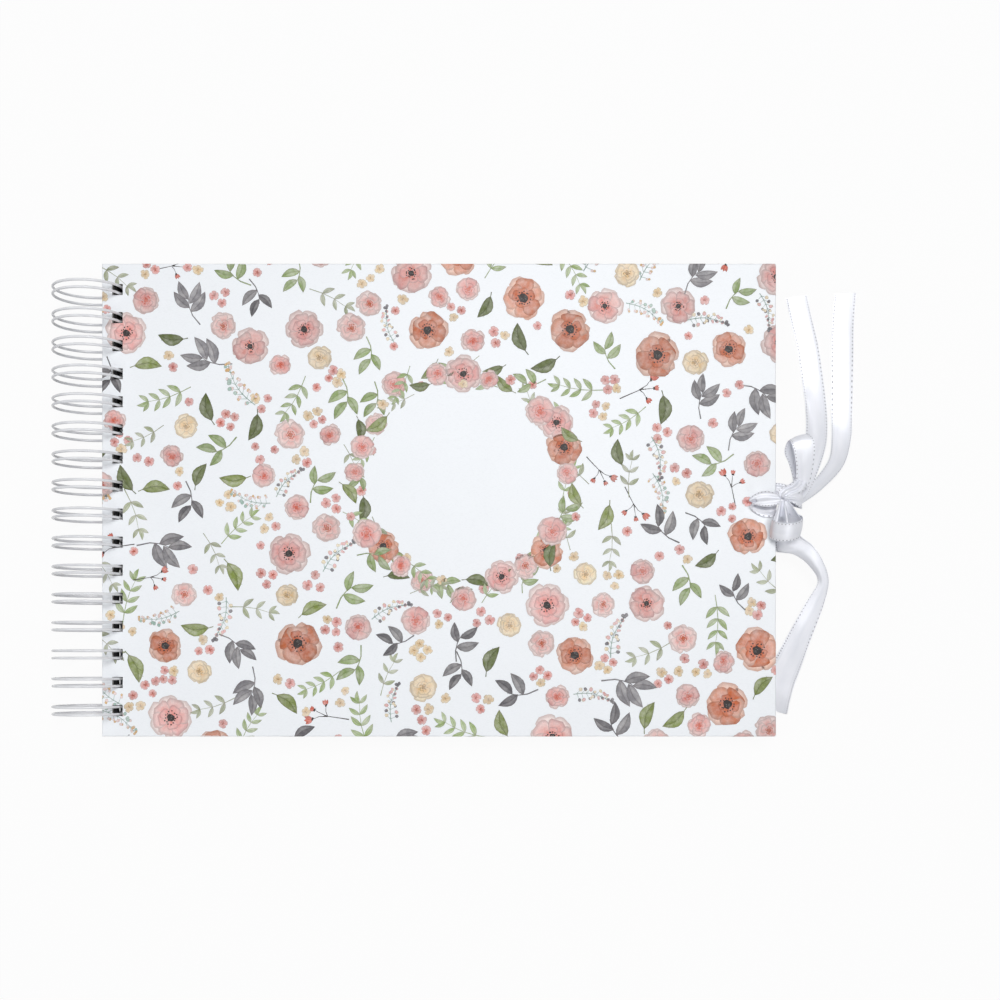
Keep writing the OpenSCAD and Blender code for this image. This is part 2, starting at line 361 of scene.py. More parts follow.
@dataclass(frozen=True)
class BlackCard(Finish):
    """Uncoated black card with grey fibres."""

    def paint(self, sheet: NodeSheet) -> None:
        """Lays the fibres over clouds in the card.

        Args:
            sheet: The material's nodes.
        """
        where = sheet.coordinates()
        fibre = sheet.noise(sheet.stretched(where, (1, 2.5, 1)), scale=1400, detail=5, rough=0.75)
        cloud = sheet.noise(where, scale=90)
        black, worn, pale = linear(24, 24, 26), linear(36, 36, 39), linear(74, 74, 78)
        base = sheet.ramp(fibre, (0.42, black), (0.6, worn), (0.78, pale))
        tone = sheet.ramp(cloud, (0.3, grey(0.86)), (0.7, grey(1.0)))
        sheet.set(Base_Color=sheet.product(base, tone))
        sheet.bump(fibre, 0.00003)


@dataclass(frozen=True)
class CoatedWire(Finish):
    """White nylon coating on steel wire, smooth with a slight orange peel."""

    def paint(self, sheet: NodeSheet) -> None:
        """Lays the coating's peel and its slight change of tone.

        Args:
            sheet: The material's nodes.
        """
        where = sheet.coordinates()
        peel = sheet.noise(where, scale=1500)
        tone = sheet.noise(where, scale=160)
        sheet.set(
            Base_Color=sheet.ramp(tone, (0.3, linear(228, 229, 233)), (0.7, linear(239, 240, 243))),
            Roughness=sheet.math("MULTIPLY_ADD", peel, 0.1, 0.08),
            Specular_IOR_Level=0.45,
        )
        sheet.bump(peel, 0.00002, 0.6)


@dataclass(frozen=True)
class Ink(Finish):
    """Watercolour ink: its attribute's colour, with blooms, granulation and darker rims."""

    def paint(self, sheet: NodeSheet) -> None:
        """Lays the wash from the ink attribute, whose alpha is 1 at a mark's rim.

        Args:
            sheet: The material's nodes.
        """
        where = sheet.coordinates()
        attribute = sheet.add("Attribute")
        attribute.attribute_name = "ink"
        pigment, rim = attribute.outputs["Color"], attribute.outputs["Alpha"]
        bloom = sheet.noise(where, scale=330, detail=3, rough=0.6)
        grain = sheet.noise(where, scale=1900, detail=3, rough=0.7)
        thin = sheet.ramp(bloom, (0.36, grey(0.0)), (0.7, grey(0.36)))
        brightness = sheet.add("RGBToBW", Color=pigment).outputs[0]
        light = sheet.math("MINIMUM", sheet.math("MULTIPLY", brightness, 3.2), 1.0)
        thinned = sheet.math("MULTIPLY", thin, light)
        washed = sheet.mix(thinned, pigment, (*linear(247, 243, 241), 1))
        dried = sheet.ramp(rim, (0.74, grey(1.0)), (0.97, (0.7, 0.66, 0.66)))
        pooled = sheet.product(washed, dried)
        grains = sheet.ramp(grain, (0.35, grey(0.9)), (0.6, grey(1.03)))
        sheet.set(
            Base_Color=sheet.product(pooled, grains),
            Specular_IOR_Level=0.25,
            Coat_Weight=0.05,
            Coat_Roughness=0.3,
        )
        sheet.bump(grain, 0.00001)


@dataclass(frozen=True)
class Satin(Finish):
    """White satin ribbon: fine warp floats along it, a woven selvedge, and grey dots of painted
    shade where the picot edge has small holes.
    """

    width: float
    hem: float = 0.0016
    dot_pitch: float = 0.0014
    dot_inset: float = 0.0005
    dot_radius: float = 0.00036

    def dots(self, sheet: NodeSheet, edge: Socket, along: Socket) -> Socket:
        """Paints a row of grey dots inside each hem, as painted shade in the edge's small holes.

        Args:
            sheet: The material's nodes.
            edge: The distance from the nearer edge.
            along: The distance along the ribbon.

        Returns:
            1 on a dot, and 0 elsewhere.
        """
        beat = sheet.math("FRACT", sheet.math("DIVIDE", along, self.dot_pitch))
        near = sheet.math("ABSOLUTE", sheet.math("SUBTRACT", edge, self.dot_inset))
        gap = sheet.math("ABSOLUTE", sheet.math("SUBTRACT", beat, 0.5))
        gap = sheet.math("MULTIPLY", gap, self.dot_pitch)
        squares = [sheet.math("MULTIPLY", part, part) for part in (near, gap)]
        reach = sheet.math("SQRT", sheet.math("ADD", *squares))
        share = sheet.math("DIVIDE", reach, self.dot_radius)
        return sheet.ramp(share, (0.4, grey(1.0)), (1.0, grey(0.0)))

    def paint(self, sheet: NodeSheet) -> None:
        """Lays the satin. Its UV map is in metres, across and along the ribbon.

        Args:
            sheet: The material's nodes.
        """
        where = sheet.coordinates("UV")
        split = sheet.add("SeparateXYZ", Vector=where)
        across, along = split.outputs["X"], split.outputs["Y"]
        floats = sheet.noise(sheet.stretched(where, (9000, 700, 1)), scale=1, detail=3, rough=0.6)
        slubs = sheet.noise(sheet.stretched(where, (300, 60, 1)), scale=1)
        edge = sheet.math("MINIMUM", across, sheet.math("SUBTRACT", self.width, across))
        dot = self.dots(sheet, edge, along)
        inward = sheet.math("DIVIDE", edge, self.hem)
        hem = sheet.ramp(inward, (0.6, grey(1.0)), (0.85, grey(0.93)), (1.0, grey(1.0)))
        tone = sheet.ramp(slubs, (0.3, linear(227, 229, 236)), (0.7, linear(237, 238, 244)))
        # The grey at the dots is painted shade in the picot holes, and the bump below dents them.
        sheet.set(
            Base_Color=sheet.mix(dot, sheet.product(tone, hem), (*linear(140, 140, 147), 1)),
            Roughness=sheet.math("MULTIPLY_ADD", floats, 0.14, 0.33),
            Metallic=0.2,
            Anisotropic=0.6,
        )
        height = sheet.math("SUBTRACT", sheet.math("MULTIPLY", floats, 0.3), dot)
        sheet.bump(height, 0.0001)


PRINTED = Paper("case_paper", 0.5, linear(244, 247, 251), coat=0.18)
LINING = Paper("endpaper", 0.7, linear(246, 243, 238), tooth=0.00004)
BOARD = Greyboard("pressed_board", 0.9)
CARD = BlackCard("scrap_card", 0.85)
WIRE = CoatedWire("wire_enamel", 0.3)
INK = Ink("print_ink", 0.5)
SATIN = Satin("white_satin", 0.34, width=0.010)


# ---- Small modelling helpers ----


def deselect() -> None:
    """Leaves edit mode and deselects every object."""
    if bpy.context.object and bpy.context.object.mode != "OBJECT":
        bpy.ops.object.mode_set(mode="OBJECT")
    bpy.ops.object.select_all(action="DESELECT")


def activate(piece: Piece) -> None:
    """Makes a piece the only selected one, and the active one.

    Args:
        piece: The piece.
    """
    deselect()
    piece.select_set(True)
    bpy.context.view_layer.objects.active = piece


@contextmanager
def editing(piece: Piece) -> Iterator[None]:
    """Opens a piece in edit mode, and leaves the mode again.

    Args:
        piece: The piece.

    Returns:
        Nothing: the work is done in between.
    """
    activate(piece)
    bpy.ops.object.mode_set(mode="EDIT")
    yield
    bpy.ops.object.mode_set(mode="OBJECT")


def joined(pieces: Sequence[Piece], name: str) -> Piece:
    """Joins pieces into the first one.

    Args:
        pieces: The pieces.
        name: The name of the result.

    Returns:
        The joined piece.
    """
    activate(pieces[0])
    for piece in pieces[1:]:
        piece.select_set(True)
    if len(pieces) > 1:
        bpy.ops.object.join()
    piece = bpy.context.object
    piece.name = piece.data.name = name
    return piece


def finished(piece: Piece, kind: str, **settings: object) -> None:
    """Adds a modifier and applies it.

    Args:
        piece: The piece.
        kind: The modifier's type.
        **settings: The modifier's settings.
    """
    activate(piece)
    modifier = piece.modifiers.new(kind.title(), kind)
    for key, value in settings.items():
        setattr(modifier, key, value)
    bpy.ops.object.modifier_apply(modifier=modifier.name)


def positions(piece: Piece) -> np.ndarray:
    """Reads the vertices' places.

    Args:
        piece: The piece.

    Returns:
        The places, as rows of three numbers.
    """
    places = np.zeros(len(piece.data.vertices) * 3)
    piece.data.vertices.foreach_get("co", places)
    return places.reshape(-1, 3)


def move_vertices(piece: Piece, places: np.ndarray) -> None:
    """Puts the vertices at new places."""
    piece.data.vertices.foreach_set("co", np.asarray(places, float).ravel())
    piece.data.update()


def placed(point: Point, angle: float, root: Point = (0.0, 0.0)) -> Point:
    """A point turned about the origin and then moved by the root."""
    (x, y), cos, sin = point, math.cos(angle), math.sin(angle)
    return root[0] + (x * cos - y * sin), root[1] + (x * sin + y * cos)


def polar(angle: float, far: float, centre: Point = (0.0, 0.0)) -> Point:
    """The point that lies that far from a centre, at an angle."""
    return centre[0] + far * math.cos(angle), centre[1] + far * math.sin(angle)


def smooth_route(points: Sequence[Vector], share: float) -> Vector:
    """A point of the smooth curve through the points.

    Args:
        points: The points that the curve passes.
        share: How far along the list, from 0 to 1.

    Returns:
        The point there.
    """
    last = len(points) - 1
    step = min(int(share * last), last - 1)
    u = share * last - step
    a, b, c, d = (points[min(max(step + k, 0), last)] for k in (-1, 0, 1, 2))
    return b + 0.5 * u * (c - a + u * (2 * a - 5 * b + 4 * c - d + u * (3 * (b - c) + d - a)))


# ---- The covers' planes ----


@dataclass(frozen=True)
class Plate:
    """Where a cover lies: the middle of its outer face, its axes and its sizes."""

    middle: Vector
    along: Vector
    up: Vector
    out: Vector
    half_width: float
    half_height: float
    thick: float

    @classmethod
    def read(cls, nodes: dict[str, Piece], board: str, wrap: str, side: int) -> "Plate":
        """Reads the plane of a cover from its CAD nodes.

        Args:
            nodes: The CAD nodes.
            board: The board's name, whose flattest direction is the cover's normal.
            wrap: The case paper's name, which gives the outer sizes.
            side: 1 where the printed face looks up, or -1 where it looks down.

        Returns:
            The cover's plane.
        """
        body = positions(nodes[board])
        normal = np.linalg.svd(body - body.mean(0), full_matrices=False)[2][2]
        normal = Vector(normal) * (1 if normal[2] > 0 else -1)
        up = Vector((0, 1, 0))
        along = up.cross(normal).normalized()
        shell = positions(nodes[wrap])
        low, high = [], []
        for axis in (along, up, normal):
            reach = shell @ np.array(axis)
            low.append(float(reach.min()))
            high.append(float(reach.max()))
        face = high[2] if side > 0 else low[2]
        middle = along * (low[0] + high[0]) / 2 + up * (low[1] + high[1]) / 2 + normal * face
        wide, tall, thick = (b - a for a, b in zip(low, high))
        return cls(middle, along, up, normal * side, wide / 2, tall / 2, thick)

    def at(self, x: float, y: float, lift: float = 0.0) -> Vector:
        """The point x along, y up and lift out from the middle of the outer face."""
        return self.middle + self.along * x + self.up * y + self.out * lift


# ---- The print ----

PETAL_POINTS = 18
LEAF_STEPS = 6
STAMENS = 15
EYE_SPOTS = 5


@dataclass
class Motif:
    """A small flat picture of brush marks, modelled once at the origin and then stamped.

    Its marks lie in layers, and each is shaded from an inner to an outer colour.
    """

    name: str
    reach: float
    seed: int
    marks: list[Piece] = field(default_factory=list)

    def __post_init__(self) -> None:
        """Seeds this motif's own dice."""
        self.dice = random.Random(self.seed)
        self.roll = self.dice.uniform
        self.piece: Piece | None = None

    def mark(self, rim: Sequence[Point], heart: Point, brush: Brush) -> None:
        """Lays one brush mark: a disc, reshaped to an outline.

        Args:
            rim: The outline's points.
            heart: The point inside that it fans out from.
            brush: The colour there, the colour at the rim and the layer.
        """
        inner, outer, level = brush
        deselect()
        bpy.ops.mesh.primitive_circle_add(vertices=len(rim), radius=1, fill_type="TRIFAN")
        disc = bpy.context.object
        places = positions(disc)
        ink = disc.data.color_attributes.new("ink", "FLOAT_COLOR", "POINT")
        turn = math.tau / len(rim)
        for number, (x, y, _) in enumerate(places):
            if math.hypot(x, y) < 0.5:
                spot, tone, edge = heart, inner, 0.0
            else:
                spot = rim[round(math.atan2(y, x) / turn) % len(rim)]
                tone, edge = shade(outer, self.roll(0.94, 1.06)), 1.0
            places[number] = spot[0] * MM, spot[1] * MM, level
            ink.data[number].color = (*tone, edge)
        move_vertices(disc, places)
        self.marks.append(disc)

    def petal(self, angle: float, start: float, long: float, wide: float, *brush: Stroke) -> None:
        """Lays a ruffled petal, notched at its tip.

        Args:
            angle: The way that it leaves the centre.
            start: How far from the centre it starts.
            long: Its length.
            wide: Its width.
            *brush: Its inner colour, its outer colour and its layer.
        """
        rim = []
        for step in range(PETAL_POINTS):
            t = math.tau * step / PETAL_POINTS
            x = long * (0.5 + 0.5 * math.cos(t))
            y = wide / 2 * math.sin(t) * (0.5 + 0.68 * x / long)
            dent = 1 - 0.1 * math.exp(-((math.sin(t) / 0.3) ** 2)) * (math.cos(t) > 0)
            wave = 1 + self.roll(-0.04, 0.05)
            rim.append(placed((start + x * dent * wave, y * wave), angle))
        self.mark(rim, placed((start + 0.25 * long, 0), angle), brush)

    def leaf(
        self, root: Point, angle: float, long: float, wide: float,
        tone: Colour, level: int, bend: float = 0.12,
    ) -> None:
        """Lays a pointed leaf as two halves, one a little darker, along a bent rib.

        Args:
            root: Where it starts.
            angle: The way that it points.
            long: Its length.
            wide: Its width.
            tone: Its colour.
            level: Which layer it lies on.
            bend: The rib's rise as a share of the length.
        """
        rib, steps = [], range(LEAF_STEPS + 1)
        for step in steps:
            rise = bend * long * math.sin(math.pi * step / LEAF_STEPS)
            rib.append((long * step / LEAF_STEPS, rise))
        swell = [math.sin(math.pi * (step / LEAF_STEPS) ** 0.85) ** 0.9 for step in steps]
        for side, depth, light in ((1, 1.0, 1.12), (-1, 0.84, 0.95)):
            rim = [(x, rise + side * wide / 2 * share) for share, (x, rise) in zip(swell, rib)]
            rim += rib[-2:0:-1]
            if side < 0:
                rim = rim[:1] + rim[:0:-1]
            rim = [placed(point, angle, root) for point in rim]
            heart = placed((0.45 * long, bend * long + side * wide * 0.2), angle, root)
            self.mark(rim, heart, (shade(tone, light), shade(tone, depth), level))

    def stem(self, points: Sequence[Point], width: float, tone: Colour, level: int) -> None:
        """Lays a thin tapering line.

        Args:
            points: The points that it passes.
            width: Its width at its root.
            tone: Its colour.
            level: Which layer it lies on.
        """
        left, right = [], []
        last = len(points) - 1
        for number, (x, y) in enumerate(points):
            before, after = points[max(number - 1, 0)], points[min(number + 1, last)]
            dx, dy = after[0] - before[0], after[1] - before[1]
            long = math.hypot(dx, dy)
            half = width / 2 * (1 - 0.6 * number / last)
            left.append((x - dy / long * half, y + dx / long * half))
            right.append((x + dy / long * half, y - dx / long * half))
        for (a, b), (c, d) in zip(zip(left, left[1:]), zip(right, right[1:])):
            heart = ((a[0] + d[0]) / 2, (a[1] + d[1]) / 2)
            self.mark([c, d, b, a], heart, (tone, tone, level))

    def dot(self, centre: Point, radius: float, corners: int, *brush: Stroke) -> None:
        """Lays a small uneven dot.

        Args:
            centre: Its middle.
            radius: Its mean radius.
            corners: How many corners it has.
            *brush: Its inner colour, its outer colour and its layer.
        """
        rim = []
        for step in range(corners):
            t = math.tau * step / corners
            rim.append(polar(t, radius * self.roll(0.82, 1.14), centre))
        self.mark(rim, centre, brush)

    def blossom(
        self, petals: int, wash: Colour, deep: Colour, pale: Colour, heart: Colour, eye: float
    ) -> None:
        """Draws an open flower.

        Args:
            petals: How many petals stand in a ring.
            wash: The petals' colour.
            deep: Their colour towards the heart.
            pale: The thin first wash that shows round them.
            heart: The eye's and the stamens' colour.
            eye: The eye's radius as a share of the flower's.
        """
        roll, radius = self.roll, self.reach
        offset, turn = roll(0, 6.3), math.tau / petals
        width = 1.78 * radius * math.sin(turn / 2)
        for number in range(petals):
            angle = offset + turn * (number + 0.5 + roll(-0.14, 0.14))
            long = radius * roll(0.92, 1.06)
            rim = shade(pale, roll(0.95, 1.2))
            self.petal(angle, 0, long, width, shade(pale, 0.92), rim, number % 2)
        for number in range(petals):
            tone = blend(wash, pale, self.dice.choice((0.0, 0.2, 0.55, 0.8)))
            tone = shade(tone, roll(0.8, 1.05))
            angle = offset + turn * (number + roll(-0.17, 0.17))
            long, wide = radius * roll(0.74, 0.98), width * roll(0.88, 1.1)
            root = shade(deep, roll(0.95, 1.15))
            self.petal(angle, 0, long, wide, root, tone, 2 + number % 3)
        for number in range(petals - 1):
            angle = offset + turn * (1.2 * number + 0.45 + roll(-0.3, 0.3))
            tone = shade(blend(wash, deep, roll(0, 0.4)), roll(0.85, 1.08))
            long = radius * roll(0.4, 0.58)
            self.petal(angle, 0.02 * radius, long, 1.05 * long, deep, tone, 5 + number % 2)
        self.dot((0, 0), eye * radius, 12, heart, heart, 8)
        for number in range(STAMENS):
            t = math.tau * (number + roll(-0.35, 0.35)) / STAMENS
            far = radius * (eye + roll(0.03, 0.14))
            self.dot(polar(t, far), 0.03 * radius + 0.08, 5, heart, heart, 9)
        for _ in range(EYE_SPOTS):
            t, far = roll(0, 6.3), eye * radius * roll(0.2, 0.6)
            light, rim = shade(heart, 1.1), shade(heart, 1.04)
            self.dot(polar(t, far), 0.1 + 0.02 * radius, 5, light, rim, 10)

    def floret(self, petals: int, wash: Colour, deep: Colour) -> None:
        """Draws a small simple flower.

        Args:
            petals: How many petals it has.
            wash: The petals' colour.
            deep: Their colour towards the heart.
        """
        turn = math.tau / petals
        for number in range(petals):
            tone = shade(wash, self.roll(0.88, 1.15))
            angle = turn * (number + self.roll(-0.12, 0.12))
            long = self.reach * self.roll(0.85, 1.08)
            self.petal(angle, 0, long, 0.92 * self.reach, shade(deep, 0.9), tone, number % 2)
        self.dot((0, 0), 0.3 * self.reach, 6, shade(deep, 0.5), shade(deep, 0.8), 3)

    def single_leaf(self, tone: Colour) -> None:
        """Draws one broad leaf with its ribs and stalk.

        Args:
            tone: Its colour.
        """
        half, dark = self.reach, shade(tone, 0.62)
        self.leaf((-half, 0), 0.0, 2 * half, 0.92 * half, tone, 0)
        tip = (0.9 * half, 0.05 * half)
        rib = [(-1.3 * half, -0.12 * half), (-half, 0), (0, 0.24 * half), tip]
        self.stem(rib, 0.42, dark, 2)
        for x in (-0.45, 0.0, 0.4):
            y = 0.24 * half * math.cos(x * 1.5)
            for side in (1, -1):
                self.stem([(x * half, y), ((x + 0.3) * half, y + side * 0.2 * half)], 0.22, dark, 2)

    def sprig(self, pairs: int, tone: Colour) -> None:
        """Draws a stem with opposite leaflets and one at its tip.

        Args:
            pairs: How many pairs of leaflets it has.
            tone: Their colour.
        """
        half = self.reach
        line = [
            (-half + 1.75 * half * k / pairs, 0.16 * half * math.sin(2.4 * k / pairs))
            for k in range(pairs + 1)
        ]
        self.stem(line, 0.4, shade(tone, 0.8), 0)
        for number in range(1, pairs + 1):
            size = 0.66 * half * (1 - 0.3 * number / pairs)
            for side in (1, -1):
                angle = side * self.roll(0.7, 0.95)
                green = shade(tone, self.roll(0.82, 1.2))
                self.leaf(line[number], angle, size, 0.36 * size, green, 1, 0.05 * side)
        self.leaf(line[-1], 0.05, 0.5 * half, 0.17 * half, tone, 3)

    def spray(self, blades: int, tone: Colour) -> None:
        """Draws broad narrow-tipped leaves on short stalks along a curved stem.

        Args:
            blades: How many leaves it has.
            tone: Their colour.
        """
        half = self.reach
        line = [(-half, -0.3 * half), (-0.6 * half, -0.06 * half)]
        line += [(-0.2 * half, 0.04 * half), (0.2 * half, 0.0)]
        self.stem(line, 0.6, shade(tone, 0.8), 0)
        for number in range(blades):
            side = 1 if number % 2 else -1
            angle = side * (0.85 - 0.55 * number / blades) + self.roll(-0.1, 0.1)
            long = half * (0.98 - 0.12 * number / blades) * self.roll(0.9, 1.06)
            root = (-0.45 * half + 0.65 * half * number / blades, 0.0)
            blade = shade(tone, self.roll(0.82, 1.12))
            self.leaf(root, angle, long, 0.42 * long, blade, 1 + number % 3, 0.08 * side)

    def heather(self, *tones: Colour) -> None:
        """Draws a stem with side twigs and loose tiny buds.

        Args:
            *tones: The buds' colours.
        """
        half, roll, green, steps = self.reach, self.roll, Tint.MINT.value, 8
        line = [
            (-half + 2 * half * k / steps, 0.18 * half * math.sin(0.42 * k))
            for k in range(steps + 1)
        ]
        self.stem(line, 0.4, shade(green, 0.75), 0)
        for number in range(1, steps + 1):
            for side in (1, -1):
                x, y = line[number]
                away = half * 0.27 * (1.2 - number / 9)
                spot = (x + roll(0.02, 0.16) * half, y + side * away * roll(0.6, 1.3))
                self.stem([(x - 0.08 * half, y), spot], 0.26, shade(green, 0.8), 0)
                for level in (1, 2):
                    tone = self.dice.choice(tones)
                    near = (spot[0] + roll(-0.6, 0.7), spot[1] + roll(-0.6, 0.6))
                    self.dot(near, roll(0.55, 0.95), 7, tone, shade(tone, 0.86), level)

    def buds(self, tone: Colour) -> None:
        """Draws a forked twig with closed buds in dark cups.

        Args:
            tone: The buds' colour.
        """
        half, twig = self.reach, Tint.UMBER.value
        line = [(-half, -0.3 * half), (-0.3 * half, -0.1 * half), (0.2 * half, 0.05 * half)]
        self.stem(line, 0.44, twig, 0)
        for x, y, size in ((0.62, 0.42, 0.42), (0.72, -0.02, 0.26), (0.3, -0.46, 0.3)):
            tip = (half * x, half * y)
            self.stem([(0.0, 0.0), (0.6 * tip[0], 0.4 * tip[1]), tip], 0.34, twig, 0)
            angle = math.atan2(tip[1], tip[0])
            for turn in (-0.45, 0.45, 0):
                bud, level = shade(tone, 1 - 0.3 * abs(turn)), 2 + (turn == 0)
                self.leaf(tip, angle + turn, size * half, 0.5 * size * half, bud, level, 0.0)
            self.dot(tip, 0.07 * half + 0.15, 6, twig, twig, 5)


@dataclass(frozen=True)
class Stamp:
    """One motif's place on the flat sheet."""

    motif: Motif
    x: float
    y: float
    angle: float
    size: float
    tint: float
    level: int = 0


@dataclass
class PrintPlan:
    """Where the motifs fall on a sheet, round a blank round panel if it has one.

    The panel and the taken places are circles, as x, y and radius.
    """

    sheet_half: Point
    panel: Triple | None
    seed: int
    tries: int = 4000
    cluster_tries: int = 9000
    cluster_reach: float = 4.6
    cluster_radius: float = 3.1
    wreath_margin: float = 13
    wreath_middle: float = 6
    stamps: list[Stamp] = field(default_factory=list)
    taken: list[Triple] = field(default_factory=list)

    def claim(self, x: float, y: float, reach: float) -> bool:
        """Takes a round place, unless it meets a taken one.

        Args:
            x: Its middle along the sheet.
            y: Its middle up the sheet.
            reach: Its radius.

        Returns:
            Whether it was free.
        """
        if any(math.hypot(x - a, y - b) < reach + r for a, b, r in self.taken):
            return False
        self.taken.append((x, y, reach))
        return True

    def add(
        self, motif: Motif, spot: Point, angle: float, size: float, tint: float, level: int = 0
    ) -> None:
        """Lays one stamp of a motif."""
        self.stamps.append(Stamp(motif, *spot, angle, size, tint, level))

    def scatter(self, motifs: Sequence[Motif], count: int, room: float) -> None:
        """Drops motifs at free places.

        Args:
            motifs: The motifs to draw from, in turn.
            count: How many to drop.
            room: The share of a motif's reach that it keeps to itself.
        """
        dice = random.Random(self.seed + len(self.stamps))
        laid = 0
        for _ in range(self.tries):
            if laid == count:
                return
            motif = motifs[laid % len(motifs)]
            size = dice.uniform(0.88, 1.12)
            x, y = (dice.uniform(-half, half) for half in self.sheet_half)
            if self.claim(x, y, motif.reach * size * room):
                self.add(motif, (x, y), dice.uniform(0, 6.28), size, dice.uniform(0.9, 1.14))
                laid += 1

    def clusters(self, motifs: Sequence[Motif], count: int) -> None:
        """Drops pairs, threes and fours of small motifs at free places.

        Args:
            motifs: The motifs to draw from.
            count: How many groups to drop.
        """
        dice = random.Random(self.seed + 77)
        laid = 0
        for _ in range(self.cluster_tries):
            if laid == count:
                return
            x, y = (dice.uniform(-half, half) for half in self.sheet_half)
            if not self.claim(x, y, self.cluster_reach):
                continue
            start, number = dice.uniform(0, 6.28), dice.choice((2, 3, 3, 4))
            for k in range(number):
                t = start + math.tau * k / number
                spot = polar(t, self.cluster_radius * dice.uniform(0.85, 1.15), (x, y))
                motif, angle = motifs[dice.randrange(len(motifs))], dice.uniform(0, 6.28)
                self.add(motif, spot, angle, dice.uniform(0.85, 1.1), dice.uniform(0.92, 1.12))
            laid += 1

    def wreath(
        self, greens: Sequence[Motif], flowers: Sequence[Motif], small: Sequence[Motif]
    ) -> None:
        """Lays an even ring of greenery with groups of flowers round the blank panel.

        Args:
            greens: The ring's leaves and sprigs.
            flowers: The three inner flowers of a group.
            small: A group's outer flowers, and those between the groups.
        """
        if self.panel is None:
            return
        *centre, radius = self.panel
        dice = random.Random(self.seed + 5)
        roll = dice.uniform
        self.taken.append((*centre, radius + self.wreath_margin))
        ring, groups, between = 44, 5, 10
        inner_row, row_gap = 5.5, 4.5
        for k in range(ring):
            t = math.tau * (k + roll(-0.2, 0.2)) / ring
            far = radius + inner_row + row_gap * (k % 2) + roll(-0.8, 0.8)
            angle = t + math.pi / 2 + (0.5 if k % 2 else -0.4)
            green = greens[k % len(greens)]
            self.add(green, polar(t, far, centre), angle, roll(0.74, 0.98), roll(0.9, 1.1))
        # Each flower's turn from the group's middle, push outwards, size, level and bank.
        places = (
            (0, 0, 0.9, 24, flowers),
            (0.24, 1.5, 0.84, 12, flowers),
            (-0.25, -1, 0.8, 12, flowers),
            (0.42, -1.5, 1.1, 12, small),
            (-0.44, 2, 1.1, 12, small),
        )
        for group in range(groups):
            middle = math.radians(18 + 72 * group)
            for pick, (shift, push, size, level, bank) in enumerate(places):
                spot = polar(middle + shift, radius + self.wreath_middle + push, centre)
                flower = bank[(group + pick) % len(bank)]
                self.add(flower, spot, roll(0, 6.28), size, roll(0.94, 1.1), level)
        for k in range(between):
            spot = polar(math.tau * (k + 0.5) / between, radius + 1.5 + 10 * (k % 2), centre)
            self.add(small[k % len(small)], spot, roll(0, 6.28), 0.95, 1.0, 12)


@dataclass(frozen=True)
class CaseFold:
    """How a flat case paper folds round its board, and where it is punched.

    A hole is its lowest and its highest corner on the flat sheet.
    """

    plate: Plate
    holes: Sequence[tuple[Point, Point]]
    radius: float = 0.0005
    shown_turn_in: float = 0.0034

    @property
    def arc(self) -> float:
        """Length of paper round one fold."""
        return math.pi / 2 * self.radius

    @property
    def wall(self) -> float:
        """Length of paper on the straight part of the edge."""
        return self.plate.thick - 2 * self.radius

    @property
    def length(self) -> float:
        """Length of paper from the first fold to where the lining hides it."""
        return 2 * self.arc + self.wall + self.shown_turn_in

    def cuts(self) -> list[float]:
        """Where the flat sheet is cut, so that its faces can bend at the folds."""
        turns = [self.arc * k / 2 for k in range(3)]
        return turns + [self.arc + self.wall + turn for turn in turns] + [self.length]

    def past(self, x: float, y: float) -> Point:
        """How far a place lies past the first fold, along x and along y."""
        wide, tall = self.plate.half_width, self.plate.half_height
        return abs(x) - wide + self.radius, abs(y) - tall + self.radius

    def reached_by(self, stamp: Stamp) -> bool:
        """Tells whether a motif, laid as that stamp, may reach a fold or a hole.

        Args:
            stamp: The motif's place.

        Returns:
            Whether it may.
        """
        reach = 1.4 * stamp.motif.reach * stamp.size * MM
        past = self.past(abs(stamp.x) * MM + reach, abs(stamp.y) * MM + reach)
        return max(past) > 0 or stamp.x * MM - reach < self.holes[0][1][0]

    def is_off(self, x: float, y: float) -> bool:
        """Tells whether a place of the flat sheet is cut away, punched out or hidden.

        Args:
            x: The place along the sheet.
            y: The place up the sheet.

        Returns:
            Whether no print is left there.
        """
        past = self.past(x, y)
        if max(past) > self.length or min(past) > 0:
            return True
        inner = 2 * self.arc + self.wall
        for one, other in (past, past[::-1]):
            if one > inner and other + self.radius > inner - one:
                return True
        return any(a[0] < x < b[0] and a[1] < y < b[1] for a, b in self.holes)

    def profile(self, past: float, lift: float) -> Point:
        """Finds where paper that far past the first fold comes to lie.

        Args:
            past: Length of paper from the fold's start, negative on the outer face.
            lift: Height above the paper.

        Returns:
            How far beyond the fold's start, and how far below the outer face.
        """
        r = self.radius
        if past <= 0:
            return past, -lift
        if past <= self.arc:
            t = past / r
            return (r + lift) * math.sin(t), r - (r + lift) * math.cos(t)
        if past <= self.arc + self.wall:
            return r + lift, r + past - self.arc
        if past <= 2 * self.arc + self.wall:
            t = (past - self.arc - self.wall) / r
            return (r + lift) * math.cos(t), r + self.wall + (r + lift) * math.sin(t)
        return 2 * self.arc + self.wall - past, self.plate.thick + lift

    def folded(self, x: float, y: float, lift: float) -> Vector:
        """Finds the place in space of a point of the flat sheet.

        Args:
            x: The point along the sheet.
            y: The point up the sheet.
            lift: Its height above the paper.

        Returns:
            Its place once the sheet is folded.
        """
        flat, past = [x, y], self.past(x, y)
        axis, depth = int(past[1] > past[0]), -lift
        if past[axis] > 0:
            half = (self.plate.half_width, self.plate.half_height)[axis]
            reach, depth = self.profile(past[axis], lift)
            flat[axis] = math.copysign(half - self.radius + reach, flat[axis])
        return self.plate.at(*flat, -depth)


